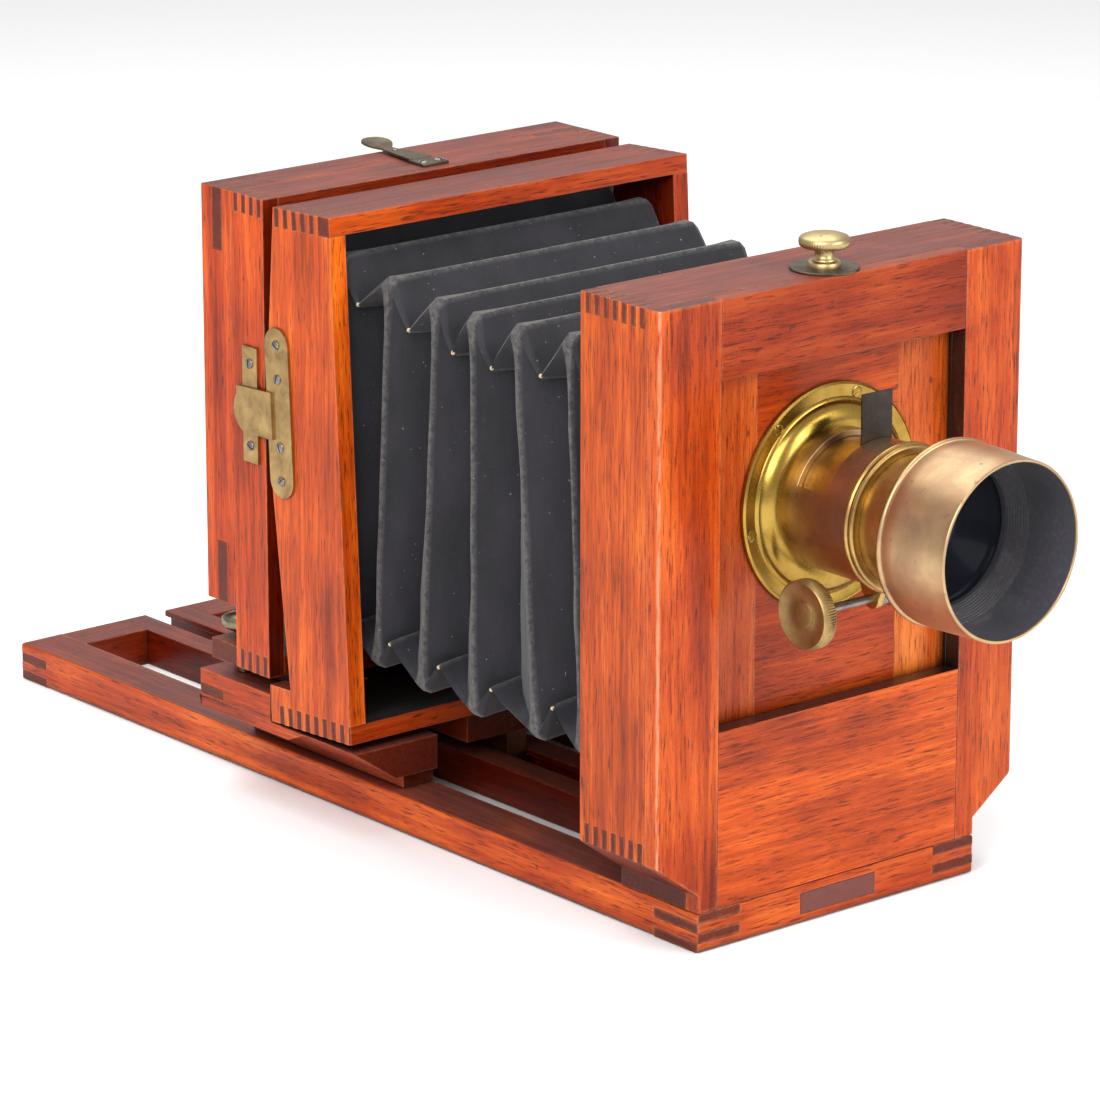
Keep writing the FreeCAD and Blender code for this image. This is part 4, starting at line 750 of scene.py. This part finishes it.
def jacket():
    """The outer tube with its cut-out, as a rolled sheet with real thickness."""
    stops = [-9.0, 9.6, 12.0, CUT_OUT[0], 20, 26, 32, CUT_OUT[1], 40, 46, 51.5]
    steps = 144
    turns = [2 * math.pi * step / steps for step in range(steps)]
    bm = bmesh.new()
    circle = [(JACKET * math.cos(turn), lens_z + JACKET * math.sin(turn)) for turn in turns]
    rows = [[bm.verts.new(Vector((x, lens_y - d, z)) * MM) for x, z in circle] for d in stops]
    for i in range(len(stops) - 1):
        mid = (stops[i] + stops[i + 1]) / 2
        for k in range(steps):
            turn = (k + 0.5) / steps * 360
            if CUT_OUT_TURN[0] < turn < CUT_OUT_TURN[1] and CUT_OUT[0] < mid < CUT_OUT[1]:
                continue
            if RACK_SLOT_TURN[0] < turn < RACK_SLOT_TURN[1] and mid > 4:
                continue
            after = (k + 1) % steps
            bm.faces.new((rows[i][k], rows[i][after], rows[i + 1][after], rows[i + 1][k]))
    bmesh.ops.recalc_face_normals(bm, faces=bm.faces)
    obj = build(bm, "lens_jacket_tube", [PATINA], 30)
    thick = obj.modifiers.new("wall", "SOLIDIFY")
    thick.thickness = (JACKET - BORE) * MM
    thick.offset = -1
    thick.use_even_offset = True
    ease(obj, 0.25, 40)
    return finish_piece(obj, "rising_front", ["lens_jacket"])


jacket()


def bead(start, end, radius, foot, n=6):
    """Half-round moulding between two distances."""
    mid, half = (start + end) / 2, (end - start) / 2
    return [(mid - half * math.cos(math.pi * k / n), foot + (radius - foot) * math.sin(math.pi * k / n))
            for k in range(n + 1)]


front_ring = [(51.0, BORE + 0.05), (51.0, JACKET)] + bead(51.2, 54.6, 37.8, 36.1) + [(54.8, 35.9)]
front_ring += bead(55.0, 58.0, 37.2, 35.6) + [(58.0, BORE + 0.05)]
turned("jacket_front_ring", front_ring, GOLDEN, "rising_front", "lacquered_brass", steps=128)

copied("lens_barrel", "lens_barrel_tube", GOLDEN, 0.2)
copied("focus_rack", "focus_rack_bar", TARNISHED, 0.2)
copied("aperture_stop", "aperture_stop_plate", STOP, 0.15)

hood_out = [(84.0, 30.5), (84.0, 45.2)] + bead(84.1, 87.4, 46.7, 45.2, 8)
hood_out += [(87.6, 45.5), (90.0, 46.0), (96, 46.1), (104, 45.9), (112, 45.6), (120, 45.25), (127.5, 44.95),
             (128.6, 45.0), (129.0, 44.7), (129.0, 43.6), (128.4, 43.3)]
hood_in = [(127, 43.3), (118, 43.5), (108, 43.8), (98, 44.1), (97.0, 44.1)]
threads = []
crests = []
for number in range(THREADS):
    radius = 44.0 - number * 0.85
    depth = 96.6 - number * 0.95
    crests.append(len(hood_out) + len(hood_in) + len(threads))
    threads += [(depth, radius), (depth, radius - 0.28), (depth - 0.75, radius - 0.42),
                (depth - 0.75, radius - 0.8)]
hood_in += threads + [(88.6, 36.2), (86.0, 36.0), (84.4, 36.0), (84.4, 30.5)]
outline = hood_out + hood_in
outside, inside, crest = range(3)  # places of the hood's materials
stretches = [outside if index < len(hood_out) - 1 else inside for index in range(len(outline))]
for index in crests:
    stretches[index] = crest
turned("lens_hood_shell", outline, [HOOD, BLACK, RUBBED], "lens", "lacquered_brass",
       ["lens_hood", "front_lens_cell"], steps=144, colours=stretches)
turned("hood_rear_bead", [(84.05, 45.0)] + bead(84.0, 86.8, 46.75, 45.2, 8) + [(86.8, 45.0)], BRASS, "lens",
       "lacquered_brass", steps=144)
dome = [(85.4 + 2.6 * math.cos(t), GLASS_RADIUS * math.sin(t)) for t in quarter(12)]
turned("front_glass", [(84.6, 0.0)] + dome + [(84.6, GLASS_RADIUS)], LENS_GLASS, "lens", "lens_glass",
       ["front_lens"])
dome = [(-3.0 - 2.0 * math.cos(t), REAR_GLASS_RADIUS * math.sin(t)) for t in quarter(12)]
turned("rear_glass", [(2.0, 0.0)] + dome + [(2.0, REAR_GLASS_RADIUS)], LENS_GLASS, "lens", "lens_glass",
       ["rear_lens"])

knob = middle("focus_knob")
knob_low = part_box("focus_knob")[0][0] / MM
profile = [(1.0, 0.0), (0.95, 5.9), (1.15, 6.5), (1.95, 6.8), (2.2, 7.8), (2.0, 11.2), (1.1, 14.0),
           (0.35, 15.6), (0.1, 16.2), (0.9, 17.1), (6.6, 17.1), (8.0, 16.7), (9.0, 15.2), (9.0, 4.4),
           (11.5, 4.0), (11.5, 0.0)]
lathe("focus_knob_turned", "x", (knob_low, knob[1], knob[2]), profile, OLIVE, "pinion", "lacquered_brass",
      ["focus_knob"], steps=160, smooth=50, ripple=knurl(range(8, 12), 0.28, -0.12))
profile = [(-46.0, 0), (-46.0, 2.1), (-3.0, 2.1), (-3.0, 4.6), (3.0, 4.6), (3.0, 2.1), (7.6, 2.1), (7.8, 1.8),
           (7.8, 0)]
lathe("pinion_shaft_turned", "x", (0, knob[1], knob[2]), profile, STEEL, "pinion", "lacquered_brass",
      ["focus_pinion"], steps=48)

HOUSING_ROUND = 5.6  # the round end of a housing cheek, about the shaft
turns = [math.pi * step / 12 for step in range(13)]
cheek = [(knob[1] + HOUSING_ROUND * math.cos(t), knob[2] - HOUSING_ROUND * math.sin(t)) for t in turns]
cheek += [(knob[1] + a, knob[2] + b) for a, b in ((-7.2, 3.2), (-9.5, 8.5), (9.5, 8.5), (7.2, 3.2))]
for word, low, high in (("left", -7.0, -3.4), ("right", 3.4, 7.0)):
    prism(f"pinion_housing_{word}_cheek", cheek, low, high, GOLDEN, "rising_front", "x",
          ["pinion_housing"] if word == "left" else (), 0.5)

# ---- clamp knob
clamp_foot = (0.0, middle("clamp_washer")[1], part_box("clamp_washer")[0][2] / MM)
lathe("clamp_washer_plate", "z", clamp_foot, [(0.0, 3.6), (0.0, 17.2), (0.9, 17.3), (1.3, 16.9), (1.4, 3.6)],
      BRONZE, "camera_base", "brass", ["clamp_washer"])
profile = [(-15.6, 0), (-15.6, 3.2), (1.4, 3.2), (1.4, 8.2), (3.2, 8.2), (4.0, 7.6), (4.3, 6.0), (4.6, 6.0),
           (5.2, 5.4), (6.0, 4.8), (9.0, 4.7), (10.0, 5.4), (10.6, 7.6), (11.0, 11.2), (11.8, 12.3),
           (13.4, 12.6), (15.0, 12.5), (16.2, 11.6), (16.8, 9.8), (17.1, 9.2), (17.3, 7.4), (17.8, 6.0),
           (17.9, 3.0), (17.9, 0)]
OLD_GOLD = metal("old_gold_brass", (0.55, 0.42, 0.20), (0.40, 0.30, 0.15), (0.12, 0.08, 0.04),
                 rough=0.34, tarnish=0.45, seed=21, spread=80)
lathe("clamp_knob_turned", "z", clamp_foot, profile, OLD_GOLD, "clamp", "brass", ["front_clamp_knob"],
      steps=120, smooth=45, ripple=knurl((14, 15, 16), 0.16, -0.1))

# ---- thumb knobs
for side in ("left", "right"):
    node = f"back_thumb_knob_{side}"
    x, y, _ = middle(node)
    bottom, top = [corner[2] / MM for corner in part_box(node)]
    profile = [(bottom - top, 0), (bottom - top, 3.0), (-11, 3.0), (-11, 4.2), (-9.4, 4.3), (-8.2, 4.8),
               (-7.0, 7.2), (-5.4, 10.0), (-3.6, 11.3), (-1.4, 11.5), (-0.4, 11.5), (0.0, 11.2), (-0.1, 10.7),
               (-1.0, 9.9), (-2.4, 7.6), (-3.1, 4.0), (-3.3, 0)]
    lathe(f"thumb_knob_{side}_turned", "z", (x, y, top), profile, DISH, f"thumb_{side}", "brass", [node],
          smooth=45, ripple=knurl((8, 9), 0.10, -0.08))

# ---- hinge plates, latch, screws
copied("back_hinge_plates", "back_hinge_plates_brass", TARNISHED, 0.35)
copied("swing_hinge_leaves", "swing_hinge_leaves_brass", TARNISHED, 0.35)
PIVOT = Vector(next(joint["pos_m"] for joint in frame["joints"] if joint["name"] == "swing_tilt"))
LEAN = (Matrix.Translation(PIVOT) @ Matrix.Rotation(math.radians(2.9), 4, Vector((-1, 0, 0)))
        @ Matrix.Translation(-PIVOT))  # the swing frame's lean at rest
PLATE_LOW, PLATE_HIGH = [corner[2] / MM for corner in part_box("back_hinge_plates")]
PLATE_Y = middle("back_hinge_plates")[1]
LEAF_Y = PIVOT.y / MM - 24.75  # middle of a leaf before it leans
PLATE_THICK = 1.4
for sign, word in ((1, "right"), (-1, "left")):
    x = sign * (HALF + PLATE_THICK)
    spots = [((x, PLATE_Y, PLATE_LOW + 9), 0.5), ((x, PLATE_Y, PLATE_HIGH - 9), 1.5)]
    screw_heads(f"back_plate_screws_{word}", spots, "x", sign, 2.7, 1.1, STEEL, "carriage",
                ["back_screws"] if sign == 1 else ())
    spots = [((x, LEAF_Y, PIVOT.z / MM + 2 + number * 18), number * 1.9) for number in (-2, -1, 1, 2)]
    screw_heads(f"swing_leaf_screws_{word}", spots, "x", sign, 2.7, 1.1, STEEL, "swing_frame",
                ["swing_screws"] if sign == 1 else (), lean=LEAN)

STRIP_LENGTH = 45  # latch strip, in mm from its hinge
STRIP_FOOT = 7.4  # half its width at the hinge
STRIP_WAIST = 3.4  # half its width where it is narrowest
WAIST = 27  # where the taper ends
BEND = 24  # where it starts to rise
PADDLE = 8.4  # radius of its round end


def make_latch_strip(start):
    """A thin tapered strip that ends in a round paddle, bent up towards its tip."""
    bm = bmesh.new()
    rows = []
    for along in range(STRIP_LENGTH + 1):
        if along < WAIST:
            half = STRIP_FOOT - 3.9 * (along / WAIST) ** 1.15
        else:
            near = max(0.0, 1 - ((along - STRIP_LENGTH + PADDLE) / PADDLE) ** 2)
            half = max(STRIP_WAIST if along < 33 else 0.0, PADDLE * math.sqrt(near))
        lift = 0.0 if along < BEND else 0.0055 * (along - BEND) ** 2 + 0.03 * (along - BEND)
        row = []
        for k in range(-5, 6):
            x = half * k / 5
            cup = 0.9 * (x / PADDLE) ** 2 if along > 29 else 0.0
            row.append(bm.verts.new(Vector((x, start + along, TOP + 1.7 + lift + cup)) * MM))
        rows.append(row)
    for a, b in zip(rows, rows[1:]):
        for k in range(10):
            bm.faces.new((a[k], a[k + 1], b[k + 1], b[k]))
    bmesh.ops.remove_doubles(bm, verts=bm.verts, dist=WELD)
    bmesh.ops.recalc_face_normals(bm, faces=bm.faces)
    obj = build(bm, "latch_strip_plate", [BRONZE], 40)
    thick = obj.modifiers.new("sheet", "SOLIDIFY")
    thick.thickness = 1.1 * MM
    thick.offset = 0
    finish_piece(obj, "latch", ["back_latch"])


latch_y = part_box("latch_base")[0][1] / MM
hinge_y = next(joint["pos_m"][1] for joint in frame["joints"] if joint["name"] == "latch_lift") / MM
spots = [((x, latch_y + 4.5, TOP + 1.4), angle) for x, angle in ((-5.5, 0.4), (5.5, 1.4))]
screw_heads("latch_screw_heads", spots, "z", 1, 2.8, 1.1, STEEL, "carriage")
make_latch_strip(hinge_y)
profile = [(-7.4, 0), (-7.4, 0.9), (-7.2, 1.1), (7.2, 1.1), (7.4, 0.9), (7.4, 0)]
lathe("latch_knuckle_turned", "x", (0, hinge_y, TOP + 1.1), profile, BRONZE, "latch", "brass", steps=32)
prism("latch_base_plate", [(-8.6, latch_y), (8.6, latch_y), (7.6, hinge_y), (-7.6, hinge_y)], TOP, TOP + 1.6,
      BRONZE, "carriage", "z", ["latch_base"], 0.35)
profile = [(0.9, 0), (0.9, 1.4), (2.6, 1.4), (3.0, 1.0), (3.1, 0)]
lathe("latch_stud_turned", "z", (0, hinge_y + 21, TOP), profile, STEEL, "latch", "brass", steps=32)

# ---- glass in the back
copied("ground_glass", "ground_glass_pane", MATT_GLASS, 0.2)

# ---- bellows
WIDE = 102.0  # half width of a ridge, in mm
INSET = 21.0  # depth of a side fold
START, BACK = [corner[1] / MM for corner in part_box("bellows")]
MIDDLE = 190  # height that parts the top faces from the bottom ones
CLOTH_THICK = 0.9
WORN = {"ridge": 1.0, "fold": 0.8, "end": 0.0}

# kind, place of its top and bottom behind the front box's face, height of its top and bottom, half width
FOLDS = [
    ("end", START - FACE, START - FACE, 300, 84, 99),
    ("fold", 36, 33, 279, 104, WIDE), ("ridge", 44, 38, 299, 85, WIDE),
    ("fold", 54, 46, 278, 104, WIDE), ("ridge", 63, 56, 298.5, 84.5, WIDE),
    ("fold", 76, 68, 276, 104.5, WIDE), ("ridge", 88.4, 78, 296.4, 84.2, WIDE),
    ("fold", 109.0, 100, 272.4, 103.6, WIDE), ("ridge", 128.7, 113.5, 293.2, 84.0, WIDE),
    ("fold", 147.0, 148.2, 268.8, 101.4, WIDE), ("ridge", 162.5, 162.7, 292.6, 83.8, WIDE),
    ("fold", 177.6, 190.4, 270.6, 103.0, WIDE), ("ridge", 191.8, 204.6, 294.6, 86.4, WIDE),
    ("fold", 213.0, 230.4, 275.4, 105.6, WIDE), ("ridge", 229.5, 241.7, 298.4, 91.0, WIDE + 0.5),
    ("fold", 254.5, 262.0, 280.8, 108.0, WIDE), ("ridge", 268.0, 272.0, 303.8, 92.0, WIDE + 1.5),
    ("fold", 287.0, 288.0, 287.0, 106.0, WIDE), ("end", BACK - FACE, BACK - FACE, 313.5, 84.5, 107.5),
]
COUNTS = (14, 2, 6, 22, 6, 2, 14)  # steps between the corners of half a section
ROWS = (0.0, 0.03, 0.1, 0.24, 0.4, 0.6, 0.76, 0.9, 0.97)


def keys(kind, z_top, z_bottom, wide):
    """Corners of half a section, from the middle of the top to the middle of the bottom."""
    if kind == "fold":
        return [(0, z_top), (wide - 1.6, z_top), (wide, z_top - 0.8), (wide - INSET, z_top - 3.0),
                (wide - INSET, z_bottom + 3.0), (wide, z_bottom + 0.8), (wide - 1.6, z_bottom), (0, z_bottom)]
    cut = 2.0 if kind == "end" else 3.6
    return [(0, z_top), (wide - cut, z_top), (wide, z_top - cut), (wide, z_top - cut - 4),
            (wide, z_bottom + cut + 4), (wide, z_bottom + cut), (wide - cut, z_bottom), (0, z_bottom)]


def section(fold, shift=0.0):
    """A closed loop of (x, y, z) in mm for one ridge or fold."""
    kind, y_top, y_bottom, z_top, z_bottom, wide = fold
    half = []
    points = keys(kind, z_top, z_bottom, wide)
    for (a, b), count in zip(zip(points, points[1:]), COUNTS):
        for step in range(count):
            t = step / count
            half.append((a[0] + (b[0] - a[0]) * t, a[1] + (b[1] - a[1]) * t))
    half.append(points[-1])
    left = [(-x, z) for x, z in reversed(half[1:-1])]
    loop = []
    for x, z in half + left:
        share = (z_top - z) / (z_top - z_bottom)
        near = math.exp(-((abs(abs(x) - wide) + min(abs(z - z_top), abs(z - z_bottom))) / 13.0) ** 2)
        y = y_top + (y_bottom - y_top) * share + shift * (0.35 + 2.7 * near)
        loop.append(Vector((x, y + FACE, z)))
    return loop


def make_bellows():
    """Pleated cloth: every ridge is a rectangle, every fold dips in between and stands out in
    a small tip at each corner."""
    stations = []
    for fold in FOLDS:
        for shift in ((-1.0, 1.0) if fold[0] == "ridge" else (0.0,)):
            stations.append((section(fold, shift), WORN[fold[0]], fold))
    bm = bmesh.new()
    wear = bm.verts.layers.float.new("wear")
    rows = []
    for (a, wear_a, fold_a), (b, wear_b, fold_b) in zip(stations, stations[1:]):
        for t in ((0.0,) if fold_a is fold_b else ROWS):
            row = []
            for p, q in zip(a, b):
                spot = p.lerp(q, t)
                puff = math.sin(math.pi * t)
                if abs(spot.x) > WIDE - INSET - 4:
                    out = Vector((math.copysign(1, spot.x), 0, 0))
                else:
                    out = Vector((0, 0, math.copysign(1, spot.z - MIDDLE)))
                bend = noise.noise(spot * 0.018) * 1.6 + noise.noise(spot * 0.06) * 0.5
                spot = spot + out * (0.9 * puff + bend * puff)
                spot += Vector((0, noise.noise(spot * 0.03 + Vector((7, 3, 1))) * 1.1 * (0.3 + puff), 0))
                vertex = bm.verts.new(spot * MM)
                edge = 0.0
                for share, own in ((t, wear_a), (1 - t, wear_b)):
                    edge = max(edge, own * max(0.0, 1 - share * 16))
                vertex[wear] = edge
                row.append(vertex)
            rows.append(row)
    rows.append([bm.verts.new(p * MM) for p in stations[-1][0]])
    count = len(rows[0])
    for a, b in zip(rows, rows[1:]):
        for k in range(count):
            after = (k + 1) % count
            bm.faces.new((a[k], b[k], b[after], a[after]))
    bmesh.ops.recalc_face_normals(bm, faces=bm.faces)
    obj = build(bm, "pleated_bellows", [CLOTH], 28)
    thick = obj.modifiers.new("cloth", "SOLIDIFY")
    thick.thickness = CLOTH_THICK * MM
    thick.offset = -1
    stretch(obj)
    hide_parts("bellows")


def stretch(obj):
    """Bake a piece's placement into its mesh."""
    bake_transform(obj)


def make_tips():
    """Beads where the cloth is worn through to its lining: one at each fold, two at each ridge."""
    bm = bmesh.new()
    for kind, y_top, y_bottom, z_top, z_bottom, wide in FOLDS[3:-2]:
        size = 1.15 if kind == "fold" else 0.6
        for sign in (-1, 1):
            for y, z, out in ((y_top, z_top, 1), (y_bottom, z_bottom, -1)):
                if kind == "fold":
                    places = [(wide + 0.1, y, z)]
                else:
                    places = [(wide - 3.4, y + step, z - 0.4 * out) for step in (-2.6, 2.6)]
                for a, b, c in places:
                    ball = bmesh.ops.create_icosphere(bm, subdivisions=2, radius=size * MM)
                    bmesh.ops.translate(bm, verts=ball["verts"], vec=Vector((sign * a, b + FACE, c)) * MM)
    stretch(build(bm, "fold_tips", [CREAM], 60))


make_bellows()
make_tips()

# ---- stage, light and camera
FLOOR_HALF = 6.0  # metres
FLOOR_DROP = 0.0004  # keeps the floor clear of the bed's underside
PALE = (0.93, 0.93, 0.93, 1)
AIM = Vector((0, 0, 0.15))  # the lamps point at the middle of the object

floor_mesh = bpy.data.meshes.new("studio_floor")
bm = bmesh.new()
bmesh.ops.create_grid(bm, x_segments=1, y_segments=1, size=FLOOR_HALF)
bm.to_mesh(floor_mesh)
bm.free()
floor = link("studio_floor", floor_mesh)
floor.location.z = -FLOOR_DROP
paper = bpy.data.materials.new("pale_paper")
paper.use_nodes = True
paper_inputs = paper.node_tree.nodes["Principled BSDF"].inputs
paper_inputs["Base Color"].default_value = PALE
paper_inputs["Roughness"].default_value = 0.9
floor_mesh.materials.append(paper)


def lamp(name, spot, size, power):
    """A soft rectangular lamp that points at the object."""
    data = bpy.data.lights.new(name, "AREA")
    data.shape = "RECTANGLE"
    data.size, data.size_y = size
    data.energy = power
    obj = link(name, data)
    obj.location = spot
    obj.rotation_euler = (AIM - Vector(spot)).to_track_quat("-Z", "Y").to_euler()


lamp("soft_key", (-1.5, -1.1, 1.5), (1.4, 1.4), 44)
lamp("soft_front", (0.7, -2.2, 1.2), (1.4, 1.2), 30)
lamp("soft_top", (0.2, 0.6, 2.0), (2.2, 2.2), 34)
scene = bpy.context.scene
scene.world = bpy.data.worlds.new("studio")
scene.world.use_nodes = True
backdrop = scene.world.node_tree.nodes["Background"].inputs
backdrop["Color"].default_value = (1, 1, 1, 1)
backdrop["Strength"].default_value = 0.6
scene.view_settings.view_transform = "Standard"

AZIMUTH, ELEVATION = math.radians(-39.80), math.radians(16.39)
looking = -Vector((math.sin(AZIMUTH) * math.cos(ELEVATION), -math.cos(AZIMUTH) * math.cos(ELEVATION),
                   math.sin(ELEVATION)))
lens = bpy.data.cameras.new("camera")
lens.sensor_width = 36.0
lens.lens = 182.4
lens.clip_end = 50.0
camera = link("camera", lens)
camera.location = (-1.7902, -2.1555, 0.9608)
camera.rotation_euler = looking.to_track_quat("-Z", "Y").to_euler()
scene.camera = camera
